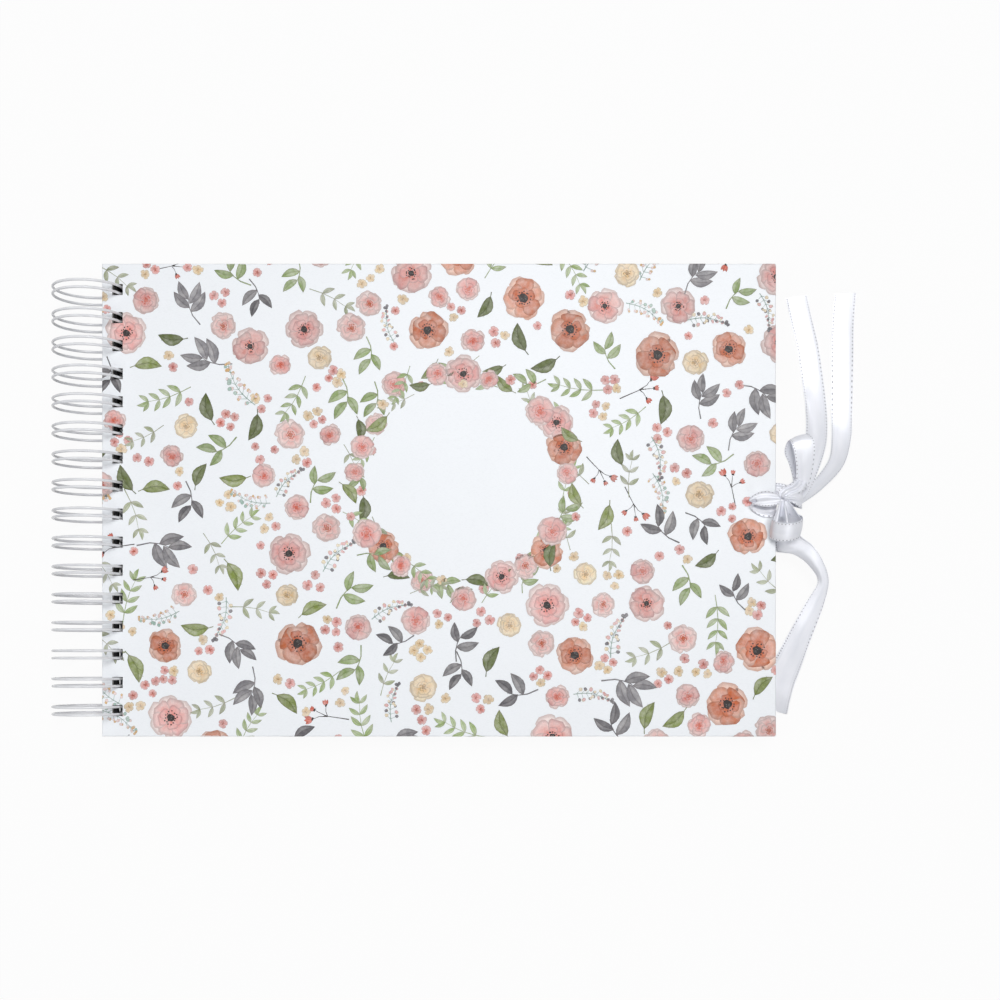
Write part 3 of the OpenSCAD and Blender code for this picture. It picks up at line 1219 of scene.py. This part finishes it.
class PrintShop:
    """Draws the stock of motifs and prints them on a folded case paper.

    The ink's base and step are the lowest layer's height over the paper and that from layer
    to layer. The bleed is how far motifs may start beyond the board's edge.
    """

    ink_base: float = 0.000015
    ink_step: float = 0.000002
    layers: int = 12
    least: float = 1e-7
    bleed: float = 6

    def __init__(self) -> None:
        """Draws the stock."""
        self.stock: list[Motif] = []
        self.large = self.draw(
            Motif.blossom,
            ("anemone", 9.6, 11, 5, Tint.TERRACOTTA, Tint.RUST, Tint.APRICOT, Tint.UMBER, 0.2),
            ("cosmos", 10.0, 12, 6, Tint.BLUSH, Tint.ROSE, Tint.PETAL, Tint.UMBER, 0.17),
            ("mallow", 9.0, 13, 6, Tint.TERRACOTTA, Tint.RUST, Tint.APRICOT, Tint.UMBER, 0.22),
            ("dogrose", 9.2, 14, 5, Tint.BLUSH, Tint.CORAL, Tint.PETAL, Tint.UMBER, 0.15),
        )
        self.medium = self.draw(
            Motif.blossom,
            ("primrose", 6.4, 21, 5, Tint.BLUSH, Tint.ROSE, Tint.PETAL, Tint.CORAL, 0.16),
            ("geum", 5.6, 22, 6, Tint.BLUSH, Tint.CORAL, Tint.PETAL, Tint.CORAL, 0.14),
            ("campion", 6.6, 24, 5, Tint.PETAL, Tint.ROSE, Tint.PETAL, Tint.RUST, 0.15),
            ("buttercup", 6.0, 23, 5, Tint.CREAM, Tint.SAND, Tint.CREAM, Tint.OCHRE, 0.14),
        )
        self.small = self.draw(
            Motif.floret,
            ("forget", 2.5, 31, 5, Tint.BLUSH, Tint.ROSE),
            ("saxifrage", 2.4, 32, 5, Tint.BLUSH, Tint.CORAL),
            ("stitchwort", 2.4, 33, 5, Tint.CREAM, Tint.SAND),
        )
        self.leaves = self.draw(
            Motif.single_leaf, ("laurel", 6.6, 41, Tint.OLIVE), ("myrtle", 6.2, 42, Tint.MOSS)
        )
        self.sprigs = self.draw(
            Motif.sprig, ("ash", 11.0, 51, 4, Tint.SAGE), ("rue", 10.0, 52, 3, Tint.FERN)
        )
        self.sprays = self.draw(
            Motif.spray,
            ("willow", 12.0, 61, 4, Tint.SLATE),
            ("eucalyptus", 10.0, 62, 3, Tint.THYME),
            ("sage", 11.0, 63, 3, Tint.GRAPHITE),
        )
        heath, ling = self.draw(
            Motif.heather,
            ("heath", 10.0, 71, Tint.MINT, Tint.PETAL, Tint.SAND),
            ("ling", 9.0, 72, Tint.BLUSH, Tint.CREAM, Tint.SLATE),
        )
        self.wisps = [heath, *self.draw(Motif.buds, ("twig", 8.5, 73, Tint.CORAL)), ling]

    def draw(self, how: Callable[..., None], *rows: Sequence[object]) -> list[Motif]:
        """Draws motifs and keeps them in stock.

        Args:
            how: The motif's method that draws them.
            *rows: A motif's name, reach and seed, and what the method takes.

        Returns:
            The motifs.
        """
        motifs = []
        for name, reach, seed, *rest in rows:
            motif = Motif(name, reach, seed)
            how(motif, *(item.value if isinstance(item, Tint) else item for item in rest))
            motif.piece = joined(motif.marks, "stamp_" + name)
            motifs.append(motif)
        self.stock += motifs
        return motifs

    def plan(self, plate: Plate, panel: Triple | None, seed: int) -> PrintPlan:
        """Plans one sheet.

        Args:
            plate: The cover that the sheet wraps.
            panel: Centre and radius of a blank round panel, or None.
            seed: Seeds where the motifs fall.

        Returns:
            The filled plan.
        """
        half = (plate.half_width / MM + self.bleed, plate.half_height / MM + self.bleed)
        plan = PrintPlan(half, panel, seed)
        greens = self.sprigs + self.sprays[1:2] + self.leaves
        plan.wreath(greens, self.large[:2] + self.medium[:3], self.small + self.medium[:1])
        plan.scatter(self.large, 26, 1.0)
        plan.scatter(self.sprays, 36, 0.74)
        plan.scatter(self.sprigs, 28, 0.72)
        plan.scatter(self.medium, 48, 0.98)
        plan.scatter(self.leaves, 30, 0.84)
        plan.scatter(self.wisps, 34, 0.66)
        plan.clusters(self.small, 60)
        plan.scatter(self.small, 30, 1.1)
        return plan

    def stamp(self, stamps: Sequence[Stamp], name: str) -> Piece:
        """Copies motifs to their places on the flat sheet and joins them.

        Args:
            stamps: The motifs and their places.
            name: The result's name.

        Returns:
            The flat print.
        """
        copies = []
        for number, stamp in enumerate(stamps):
            copy = stamp.motif.piece.copy()
            copy.data = stamp.motif.piece.data.copy()
            bpy.context.collection.objects.link(copy)
            places = positions(copy)
            level = places[:, 2] + stamp.level + self.layers * (number % 4)
            places[:, 2] = 0
            turn = Matrix.Rotation(stamp.angle, 3, "Z") * stamp.size
            places = places @ np.array(turn).T + np.array((stamp.x * MM, stamp.y * MM, 0))
            places[:, 2] = self.ink_base + self.ink_step * level
            move_vertices(copy, places)
            ink = copy.data.color_attributes["ink"].data
            tones = np.zeros(len(ink) * 4)
            ink.foreach_get("color", tones)
            tones = tones.reshape(-1, 4)
            tones[:, :3] = np.clip(tones[:, :3] * stamp.tint, 0, 0.95)
            ink.foreach_set("color", tones.ravel())
            copies.append(copy)
        return joined(copies, name)

    def cut(self, piece: Piece, axis: int, place: float, band: Point | None = None) -> None:
        """Cuts the flat sheet's faces along a line.

        Args:
            piece: The printed marks, still flat.
            axis: 0 for a line of constant x, 1 for one of constant y.
            place: Where the line is.
            band: Limits on the other axis, or None for the whole line.
        """
        with editing(piece):
            bpy.ops.mesh.select_mode(type="FACE")
            bpy.ops.mesh.select_all(action="DESELECT")
        places, mesh = positions(piece), piece.data
        corners = np.zeros(len(mesh.loops), int)
        mesh.loops.foreach_get("vertex_index", corners)
        starts = np.zeros(len(mesh.polygons), int)
        mesh.polygons.foreach_get("loop_start", starts)
        spread = [places[corners, k] for k in (0, 1)]
        low = [np.minimum.reduceat(s, starts) for s in spread]
        high = [np.maximum.reduceat(s, starts) for s in spread]
        chosen = (low[axis] < place - self.least) & (high[axis] > place + self.least)
        if band is not None:
            other = 1 - axis
            chosen &= (high[other] > band[0]) & (low[other] < band[1])
        if not chosen.any():
            return
        mesh.polygons.foreach_set("select", chosen)
        line, normal = [0.0, 0.0, 0.0], [0.0, 0.0, 0.0]
        line[axis], normal[axis] = place, 1.0
        with editing(piece):
            bpy.ops.mesh.bisect(plane_co=line, plane_no=normal, threshold=self.least)

    def drop(self, piece: Piece, unwanted: Callable[[float, float], bool]) -> None:
        """Deletes faces of the flat sheet.

        Args:
            piece: The printed marks, still flat.
            unwanted: Tells whether the faces with their middle there go.
        """
        with editing(piece):
            bpy.ops.mesh.select_all(action="DESELECT")
        for face in piece.data.polygons:
            face.select = unwanted(face.center.x, face.center.y)
        with editing(piece):
            bpy.ops.mesh.delete(type="FACE")

    def run(self, name: str, fold: CaseFold, plan: PrintPlan) -> Piece:
        """Prints a sheet, trims it at folds and holes, and folds it round the board.

        Args:
            name: The printed sheet's name.
            fold: How the sheet folds, and its holes.
            plan: Where the motifs fall.

        Returns:
            The folded print.
        """
        trimmed = [stamp for stamp in plan.stamps if fold.reached_by(stamp)]
        whole = [stamp for stamp in plan.stamps if not fold.reached_by(stamp)]
        rim = self.stamp(trimmed, "rim_print")
        for axis, half in enumerate((fold.plate.half_width, fold.plate.half_height)):
            for step in fold.cuts():
                for side in (-1, 1):
                    self.cut(rim, axis, side * (half - fold.radius + step))
        across = (fold.holes[0][0][0], fold.holes[0][1][0])
        for edge in across:
            self.cut(rim, 0, edge)
        for low, high in fold.holes:
            for edge in (low[1], high[1]):
                self.cut(rim, 1, edge, across)
        self.drop(rim, fold.is_off)
        piece = joined([self.stamp(whole, name), rim], name)
        spots = [tuple(fold.folded(*flat)) for flat in positions(piece).tolist()]
        move_vertices(piece, np.array(spots))
        return piece

    def clear(self) -> None:
        """Takes the motifs themselves away, once everything is printed."""
        for motif in self.stock:
            bpy.data.objects.remove(motif.piece)


# ---- Ribbons ----


@dataclass(frozen=True)
class TieFrame:
    """The fore-edges that the ribbons come out of, and the table that they lie on.

    A route gives x beyond the front cover's fore-edge, y along it and h above it. A negative
    x or h is a share of the way to the back cover's edge or to the table, as in the CAD, on
    scales where the whole way is gap or drop.
    """

    edge: Vector
    back_x: float
    table: float = 0.00025
    drop: float = 15.7
    gap: float = 3.7

    @classmethod
    def read(cls, front: Plate, back: Plate) -> "TieFrame":
        """Reads the fore-edges from the two covers' planes."""
        outer = back.at(back.half_width, 0, -back.thick / 2)
        return cls(front.at(front.half_width, 0), outer.x)

    def place(self, x: float, y: float, h: float) -> Vector:
        """Finds a point of a route.

        Args:
            x: The point beyond the fore-edge.
            y: The point along it.
            h: The point above it.

        Returns:
            The point in space.
        """
        reach = x * MM if x >= 0 else x * (self.edge.x - self.back_x) / self.gap
        fall = h * MM if h >= 0 else h * (self.edge.z - self.table) / self.drop
        return Vector((self.edge.x + reach, y * MM, self.edge.z + fall))


def weave(
    name: str, surface: Surface, nodes: Sequence[str], held: str = "gathered",
    body: str = "front_cover", columns: int = 16, row: float = 0.4, thick: float = 0.28,
) -> Piece:
    """Makes a strip of ribbon on a surface.

    Args:
        name: The piece's name.
        surface: Gives a point for u across and v along, both from 0 to 1.
        nodes: CAD nodes that the strip stands for.
        held: How the cloth is held; not used.
        body: The body that it rides on.
        columns: Faces across.
        row: Length of a row of faces, in millimetres.
        thick: Thickness, in millimetres.

    Returns:
        The finished piece.
    """
    samples, least_rows, least_long, sharp = 60, 8, 0.01, math.radians(60)
    middle = [surface(0.5, k / samples) for k in range(samples + 1)]
    long = sum((b - a).length for a, b in zip(middle, middle[1:]))
    rows = max(least_rows, round(long / (row * MM)))
    deselect()
    bpy.ops.mesh.primitive_grid_add(
        x_subdivisions=columns, y_subdivisions=rows, size=1, calc_uvs=True
    )
    strip = bpy.context.object
    strip.name = strip.data.name = name
    spots = [surface(float(x) + 0.5, float(y) + 0.5) for x, y, _ in positions(strip)]
    move_vertices(strip, np.array([tuple(spot) for spot in spots]))
    wide = SATIN.width
    for corner in strip.data.uv_layers.active.data:
        corner.uv = (corner.uv[0] * wide, corner.uv[1] * long)
    finished(strip, "SOLIDIFY", thickness=thick * MM, offset=0.0, use_rim=True)
    activate(strip)
    bpy.ops.object.shade_smooth_by_angle(angle=sharp)
    SATIN.dress(strip)
    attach(strip, body)
    if nodes:
        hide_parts(*nodes)
    area = sum(face.area for face in strip.data.polygons) / 2
    share = area / wide / max(long, least_long)
    log.info("%s: %.0f mm of ribbon, %.2f of its flat area", name, long / MM, share)
    return strip


@dataclass(frozen=True)
class Ribbon:
    """A strip of satin between two edges, given as routes in the tie's frame.

    A crown across it, a ripple along it, pleats side by side and a ridge along its second
    half lift the cloth from the flat strip, in millimetres. The stride is the step along the
    routes that gives their direction, as a share of them.
    """

    name: str
    node: str
    held: str
    edge_a: Route
    edge_b: Route
    crown: float
    ripple: float
    pleats: int = 0
    pleat_depth: float = 0.0
    ridge: float = 0.0
    body: str = "front_cover"
    stride: float = 0.01

    def lift(self, u: float, v: float) -> float:
        """Finds the cloth's height over the flat strip.

        Args:
            u: The place across, from 0 to 1.
            v: The place along, from 0 to 1.

        Returns:
            The height in millimetres.
        """
        seed, arch = sum(map(ord, self.name)) % 50, math.sin(math.pi * u)
        swell = self.crown * arch - self.crown * 0.6
        wave = self.ripple * math.sin(9 * v + seed + 2.2 * u) * arch
        wave += self.pleat_depth * (0.5 + 0.5 * v) * math.sin(math.tau * self.pleats * u)
        fade = min(1, max(0, 4 * v - 2)) * min(1, 6 - 6 * v)
        wave += self.ridge * (0.5 - abs(u - 0.45)) * fade
        return swell + wave

    def build(self, tie: TieFrame) -> Piece:
        """Weaves the ribbon.

        Args:
            tie: Where the fore-edges are.

        Returns:
            The finished piece.
        """
        edges = [[tie.place(*spot) for spot in route] for route in (self.edge_a, self.edge_b)]

        def surface(u: float, v: float) -> Vector:
            """Finds a point of the cloth.

            Args:
                u: The place across, from 0 to 1.
                v: The place along, from 0 to 1.

            Returns:
                The point.
            """
            a, b = (smooth_route(edge, v) for edge in edges)
            ahead, behind = (
                smooth_route(edges[0], share) + smooth_route(edges[1], share)
                for share in (min(v + self.stride, 1), max(v - self.stride, 0))
            )
            normal = (b - a).cross(ahead - behind).normalized()
            return a.lerp(b, u) + normal * self.lift(u, v) * MM

        nodes = (self.node,)
        return weave(self.name, surface, nodes, self.held, self.body, columns=14, row=0.42)


RIBBONS = (
    Ribbon(
        "back_tie", "back_ribbon", "folded",
        ((-3.6, -6, -13.8), (-3.3, -12, -13.4), (-3.2, -22, -12), (-3.2, -50, -13),
         (-3.2, -82, -15.5), (-3.1, -94, -14.7), (-2, -87, -13.4), (-0.6, -77, -12.6),
         (4.1, -68, -11.8), (9.3, -58, -11), (15.6, -46, -9), (20.4, -36.5, -6.8),
         (15.8, -29, -5.4), (9.5, -24.4, -5.2), (4.4, -23.4, -5.4), (0.9, -22.2, -5.6),
         (0.8, -14, -3.4)),
        ((-3.6, 4, -13.8), (1.4, 1, -14.6), (2.4, -12, -15.6), (2.6, -50, -15.7),
         (3.6, -88, -15.7), (7.6, -97.5, -14.8), (9.3, -91.5, -13.8), (11.3, -84, -13.4),
         (14.5, -75, -12.8), (18, -64, -11.4), (23.4, -48, -9), (25.1, -36.5, -5.6),
         (22, -27.5, -3.4), (17.6, -21, -2.3), (14.2, -18.2, -1.8), (11.5, -16, -1.6),
         (10.8, -12.5, -1.5)),
        crown=0.15, ripple=0.08, ridge=2.2, body="back_cover",
    ),
    Ribbon(
        "front_tie", "front_ribbon", "gathered",
        ((0.2, 8, -2), (3, 7.5, -1.2), (6.5, 6.2, -0.4), (10, 4.2, 0.6)),
        ((0.2, 0, -2), (3, 0.2, -1.2), (6.5, 0, -0.4), (10, -0.6, 0.6)),
        crown=0.2, ripple=0.1, pleats=3, pleat_depth=0.5,
    ),
    Ribbon(
        "top_loop", "bow_top_loop", "folded",
        ((8, 5, 3), (7.9, 12, 6), (6.8, 18.5, 8.4), (5.4, 23.6, 9), (4.4, 26, 7.6),
         (3.6, 25, 5.2), (3, 21, 3.6), (5, 16.5, 2.8), (6.7, 11, 2.2), (7.7, 5.4, 1.8)),
        ((13.9, 5, 3), (15.1, 12, 6), (15.7, 20, 8.4), (15, 26, 9), (12.6, 28.8, 7.6),
         (10.8, 28, 5.2), (10.9, 23, 3.4), (11.4, 17, 2.4), (11.7, 11, 1.9), (11.6, 5.4, 1.6)),
        crown=0.5, ripple=0.1,
    ),
    Ribbon(
        "inner_tail", "bow_inner_tail", "draped",
        ((8.4, 1.6, 2.6), (10.3, 4.9, 0.6), (12.9, 19.5, -4), (15.6, 32.5, -9),
         (16.2, 45.5, -13), (15.1, 58, -15.3), (13.1, 72.5, -15.7), (10.1, 85, -15.6),
         (7.7, 95, -14.8)),
        ((11.0, -0.6, 2.4), (15.1, 4.2, 0.4), (20.9, 16, -4), (25.1, 28, -9),
         (26.2, 41.5, -13), (25.1, 57, -15.3), (22.8, 73.5, -15.7), (19.6, 87, -15.6),
         (17.3, 96.5, -14.8)),
        crown=0.35, ripple=0.2,
    ),
    Ribbon(
        "outer_tail", "bow_outer_tail", "draped",
        ((8.2, 0.8, 1.8), (10.6, 2.6, 0), (17.6, 9, -2.4), (25.8, 19.5, -8),
         (28.1, 30, -12.2), (28.7, 41.5, -15), (29, 66, -15.7), (29.2, 82.5, -15.6),
         (30.2, 97, -14.8)),
        ((9.4, -2.8, 0.8), (12.2, -1.4, -1), (22.1, 5.5, -5.5), (32.9, 16.5, -10.5),
         (37.3, 29, -13.4), (38.4, 42.5, -15.2), (39, 66, -15.7), (39.2, 83, -15.6),
         (40, 97.5, -14.8)),
        crown=0.3, ripple=0.2,
    ),
)


def bell(place: float, middle: float, wide: float) -> float:
    """A fold's rise, 1 at its middle."""
    return math.exp(-(((place - middle) / wide) ** 2))


@dataclass(frozen=True)
class Knot:
    """The tied knot: a band that leans up, the pleats to the pinch, the laps and a side loop.

    The edge is the middle of the front cover's fore-edge. The band's middle and the pinch are
    in millimetres from there, as at() takes them.
    """

    edge: Vector
    middle: Triple = (3.6, -12.8, 5.2)
    pinch: Triple = (1.9, -0.3, 7.3)
    lean: float = math.radians(38)
    half_wide: float = 7.0
    half_high: float = 4.5

    def at(self, x: float, y: float, h: float) -> Vector:
        """The point that many millimetres beyond the fore-edge, along it and above it."""
        return self.edge + Vector((x, y, h)) * MM

    def ring(self, step: float, angle: float, share: float = 1.0) -> Vector:
        """Finds a point of the leaning tube that the band goes round.

        Args:
            step: How far along the tube, in millimetres.
            angle: The way from its middle line.
            share: The tube's thickness there, as a share of the whole.

        Returns:
            The point.
        """
        axis = Vector((0, math.cos(self.lean), math.sin(self.lean)))
        over = Vector((0, -math.sin(self.lean), math.cos(self.lean)))
        wide, high = self.half_wide * share, self.half_high * share
        away = Vector((wide * math.cos(angle), 0, 0)) + over * high * math.sin(angle)
        return self.at(*self.middle) + axis * step * MM + away * MM

    def band(self, u: float, v: float) -> Vector:
        """Finds a point of the band.

        Args:
            u: The place across, from 0 to 1.
            v: The place round the tube, from 0 to 1.

        Returns:
            The point.
        """
        angle = math.radians(250 - 380 * v)
        step = -4.7 + 9.4 * u + 0.5 * math.cos(angle)
        return self.ring(step, angle, 1 - 0.05 * (2 * u - 1) ** 2 - 0.03 * v)

    def pleats(self, u: float, v: float) -> Vector:
        """Finds a point of the cloth that is gathered from the band to the pinch.

        Args:
            u: The place round the band, from 0 to 1.
            v: The place from the band to the pinch, from 0 to 1.

        Returns:
            The point.
        """
        angle = math.radians(172 + 196 * u)
        folds = 0.86 * bell(u, 0.22, 0.11) + 0.88 * bell(u, 0.475, 0.045)
        root = self.ring(3.6, angle, 0.93).lerp(self.ring(4.2, -angle, 0.93), folds)
        tight = (1.3 * math.cos(angle), 0.3 * math.sin(2 * angle), 1.0 * math.sin(angle))
        pinch = self.at(*self.pinch) + Vector(tight) * MM
        bow = Vector((0, 0, 0.9 * math.sin(math.pi * v))) * MM
        return root.lerp(pinch, v ** 0.9) + bow

    def between(self, left: Route, right: Route, shift: Shift) -> Surface:
        """Spans cloth between two routes.

        Args:
            left: The route at u of 0, as at() takes its points.
            right: The route at u of 1.
            shift: Gives how the cloth is moved at u and v, in millimetres.

        Returns:
            The surface.
        """
        edges = [[self.at(*spot) for spot in route] for route in (left, right)]

        def surface(u: float, v: float) -> Vector:
            """The point of the cloth at u across and v along."""
            a, b = (smooth_route(edge, v) for edge in edges)
            return a.lerp(b, u) + Vector(shift(u, v)) * MM

        return surface

    @staticmethod
    def gathers(folds: float, deep: float) -> Shift:
        """Gives folds that run along a strip.

        Args:
            folds: How many lie side by side.
            deep: Their depth.

        Returns:
            The shift of the cloth at u and v.
        """

        def shift(u: float, v: float) -> Triple:
            """The cloth's rise at u, the same all along."""
            swell, wave = math.sin(math.pi * u), math.sin(math.tau * folds * u + 0.8)
            return 0, 0, deep * swell + 0.6 * deep * wave

        return shift

    @staticmethod
    def mouth(u: float, v: float) -> Triple:
        """The side loop's shift: two soft folds, and its opening pushed in at the turn."""
        fold, push = math.sin(math.tau * u + 0.6) ** 2 - 0.3, bell(u, 0.5, 0.2) * bell(v, 0.58, 0.1)
        return 4.0 * push, 0, fold * (1.1 - 0.8 * v) - 0.5 * push

    def build(self) -> list[Piece]:
        """Weaves the knot's folds and the side loop.

        Returns:
            The pieces.
        """
        lap = self.between(
            ((6.8, 4.4, -1.4), (10.0, 4.9, -0.4), (11.4, 4.8, 2.4), (9.8, 4.0, 5.2),
             (6.6, 2.2, 7.0), (3.2, 0.9, 7.6), (1.8, 0.3, 7.2)),
            ((6.4, -2.4, -1.2), (9.4, -3.4, -0.4), (11.0, -4.3, 2.0), (9.8, -4.2, 4.6),
             (7.0, -2.6, 6.4), (3.8, -1.3, 7.3), (2.2, -0.9, 7.0)),
            self.gathers(2.2, 0.7),
        )
        lead = self.between(
            ((8.2, 10.4, 2.4), (7.4, 8.6, 4.2), (4.8, 6.4, 5.8), (0.6, 4.4, 6.4),
             (-0.4, 2.0, 6.2), (0.4, 0.6, 6.0)),
            ((13.6, 9.6, 2.2), (13.0, 6.4, 4.0), (11.0, 3.4, 5.8), (7.0, 1.4, 7.0),
             (4.0, 0.2, 7.2), (2.4, -0.4, 6.8)),
            self.gathers(2.5, 0.95),
        )
        side = self.between(
            ((2.2, 0.6, 6.0), (-1.0, 2.4, 4.8), (-4.8, 3.5, 3.7), (-8.6, 3.0, 3.1),
             (-11.6, 1.2, 2.5), (-12.5, -0.2, 1.6), (-10.5, 0.6, 0.9), (-6.0, 0.6, 0.7),
             (0.5, 0.0, 1.2)),
            ((2.2, -1.6, 7.0), (-0.8, -2.8, 7.2), (-3.8, -3.6, 6.8), (-7.0, -3.5, 5.9),
             (-10.0, -2.6, 4.6), (-11.9, -2.8, 2.8), (-10.4, -5.2, 1.1), (-6.0, -7.6, 0.7),
             (-0.5, -7.6, 0.8)),
            self.mouth,
        )
        return [
            weave("knot_band", self.band, ("bow_knot",), columns=14, row=0.42, thick=0.3),
            weave("knot_pleats", self.pleats, (), columns=56, thick=0.25),
            weave("knot_lap", lap, ()),
            weave("knot_lead", lead, ()),
            weave("side_loop", side, ("bow_side_loop",), "folded", row=0.42),
        ]


@dataclass(frozen=True)
class Tie:
    """The satin ribbons and the bow over the fore-edge."""

    frame: TieFrame

    def build(self) -> list[Piece]:
        """Builds every stretch of ribbon and the knot, and gives the pieces."""
        return [ribbon.build(self.frame) for ribbon in RIBBONS] + Knot(self.frame.edge).build()


# ---- The album ----


class Side(Enum):
    """The two covers, with the way their printed face looks."""

    FRONT = 1
    BACK = -1

    @property
    def word(self) -> str:
        """The cover's name in node and body names."""
        return self.name.lower()


@dataclass
class Cover:
    """A board cover with its printed case paper, its lining and its row of square holes."""

    side: Side
    nodes: dict[str, Piece]
    shop: PrintShop
    seed: int
    panel: Triple | None = None
    hole_size: Point = (0.0047, 0.005)
    hole_margin: float = 0.0047
    hole_pitch: float = 0.0127
    hole_count: int = 16

    def __post_init__(self) -> None:
        """Finds the cover's plane."""
        word = self.side.word
        self.plate = Plate.read(self.nodes, f"{word}_board", f"{word}_wrap", self.side.value)

    def holes(self) -> list[tuple[Point, Point]]:
        """Places the punched holes.

        Returns:
            Their lowest and highest corners on the flat sheet.
        """
        low = -self.plate.half_width + self.hole_margin
        rows = [(k - (self.hole_count - 1) / 2) * self.hole_pitch for k in range(self.hole_count)]
        tall = self.hole_size[1] / 2
        return [((low, y - tall), (low + self.hole_size[0], y + tall)) for y in rows]

    def build(self) -> Piece:
        """Dresses the cover's nodes and prints its case paper.

        Returns:
            The print.
        """
        word = self.side.word
        for part, finish in (("wrap", PRINTED), ("board", BOARD), ("liner", LINING)):
            finish.dress(self.nodes[f"{word}_{part}"])
        plan = self.shop.plan(self.plate, self.panel, self.seed)
        piece = self.shop.run(f"{word}_print", CaseFold(self.plate, self.holes()), plan)
        INK.dress(piece)
        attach(piece, f"{word}_cover")
        log.info("%s: %d motifs, %d faces", piece.name, len(plan.stamps), len(piece.data.polygons))
        return piece


@dataclass(frozen=True)
class Block:
    """The card leaves on their twin-loop wire."""

    nodes: dict[str, Piece]

    def build(self) -> None:
        """Dresses the leaves and the wire."""
        leaves = [node for name, node in self.nodes.items() if name.startswith("leaf_")]
        CARD.dress(*leaves)
        WIRE.dress(self.nodes["twin_loop_wire"])
        log.info("%d leaves on the wire", len(leaves))


# ---- The studio ----


@dataclass(frozen=True)
class Lamp:
    """A square soft lamp that looks at the album."""

    name: str
    place: Triple
    size: float
    power: float

    def hang(self) -> None:
        """Hangs the lamp."""
        data = bpy.data.lights.new(self.name, "AREA")
        data.size, data.energy = self.size, self.power
        lamp = bpy.data.objects.new(self.name, data)
        lamp.location = self.place
        lamp.rotation_mode = "QUATERNION"
        lamp.rotation_quaternion = (-Vector(self.place)).to_track_quat("-Z", "Y")
        bpy.context.collection.objects.link(lamp)


@dataclass(frozen=True)
class Studio:
    """The pale floor, the soft lamps, the white surroundings and the camera.

    The camera stands square over the front cover: inset from its fore-edge, and that far
    along it and out from it. Its shift takes in the tail and the ribbons.
    """

    floor_half: float = 4.0
    floor_white: float = 0.94
    floor_colour: Colour = (0.7, 0.7, 0.71)
    room_colour: Colour = (0.96, 0.98, 1.0)
    room_light: float = 0.16
    lamps: tuple[Lamp, ...] = (
        Lamp("key", (0.26, 0.4, 1.5), 0.75, 14.2),
        Lamp("fill", (-0.9, -0.2, 1.4), 1.2, 6.6),
        Lamp("glint", (0.42, -1.3, 0.6), 0.4, 3.0),
    )
    lens: float = 48.45
    sensor: float = 36
    shift: Point = (0.03, 0.155)
    clip: Point = (0.01, 20)
    inset: float = 0.13846
    sideways: float = -0.07014
    distance: float = 0.609

    def floor(self) -> None:
        """Lays a pale floor that looks white to the camera but keeps shadows."""
        deselect()
        bpy.ops.mesh.primitive_grid_add(
            x_subdivisions=4, y_subdivisions=4, size=2 * self.floor_half
        )
        floor = bpy.context.object
        floor.name = floor.data.name = "floor"
        sheet = NodeSheet("studio_floor", 0.9)
        sheet.set(Base_Color=(*self.floor_colour, 1))
        white = sheet.add("Emission", Color=(1, 1, 1, 1), Strength=1.0).outputs[0]
        share = sheet.math("MULTIPLY", sheet.seen(), self.floor_white)
        shown = sheet.layered(share, sheet.shader.outputs[0], white)
        sheet.feed(sheet.tree.nodes["Material Output"].inputs["Surface"], shown)
        floor.data.materials.append(sheet.material)

    def surroundings(self) -> None:
        """Fills the room with even light, and shows white to the camera."""
        world = bpy.data.worlds.new("studio")
        bpy.context.scene.world = world
        world.use_nodes = True
        world.node_tree.nodes.clear()
        nodes = Nodes(world.node_tree)
        dim = nodes.add("Background", Color=(*self.room_colour, 1), Strength=self.room_light)
        bright = nodes.add("Background", Color=(1, 1, 1, 1))
        shown = nodes.layered(nodes.seen(), dim.outputs[0], bright.outputs[0])
        nodes.add("OutputWorld", Surface=shown)

    def camera(self, front: Plate) -> None:
        """Sets the camera square over the front cover, towards its tail.

        Args:
            front: The front cover's plane.
        """
        data = bpy.data.cameras.new("camera")
        data.lens, data.sensor_width = self.lens, self.sensor
        data.shift_x, data.shift_y = self.shift
        data.clip_start, data.clip_end = self.clip
        camera = bpy.data.objects.new("camera", data)
        camera.location = front.at(front.half_width - self.inset, self.sideways, self.distance)
        turn = Matrix((front.along, front.up, front.out)).transposed()
        camera.rotation_euler = turn.to_euler()
        bpy.context.collection.objects.link(camera)
        bpy.context.scene.camera = camera

    def build(self, front: Plate) -> None:
        """Builds the studio round the album.

        Args:
            front: The front cover's plane.
        """
        self.floor()
        self.surroundings()
        for lamp in self.lamps:
            lamp.hang()
        self.camera(front)
        bpy.context.scene.view_settings.view_transform = "Standard"


def main() -> None:
    """Builds the album's looks in order and reports each part."""
    logging.basicConfig(level=logging.INFO, format="%(name)s: %(message)s")
    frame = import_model()
    deselect()
    nodes = frame["nodes"]
    shop = PrintShop()
    front = Cover(Side.FRONT, nodes, shop, seed=3, panel=(11.0, 9.0, 42.0))
    back = Cover(Side.BACK, nodes, shop, seed=8)
    Studio().build(front.plate)
    front.build()
    back.build()
    Block(nodes).build()
    Tie(TieFrame.read(front.plate, back.plate)).build()
    shop.clear()
    deselect()


if __name__ == "__main__":
    main()
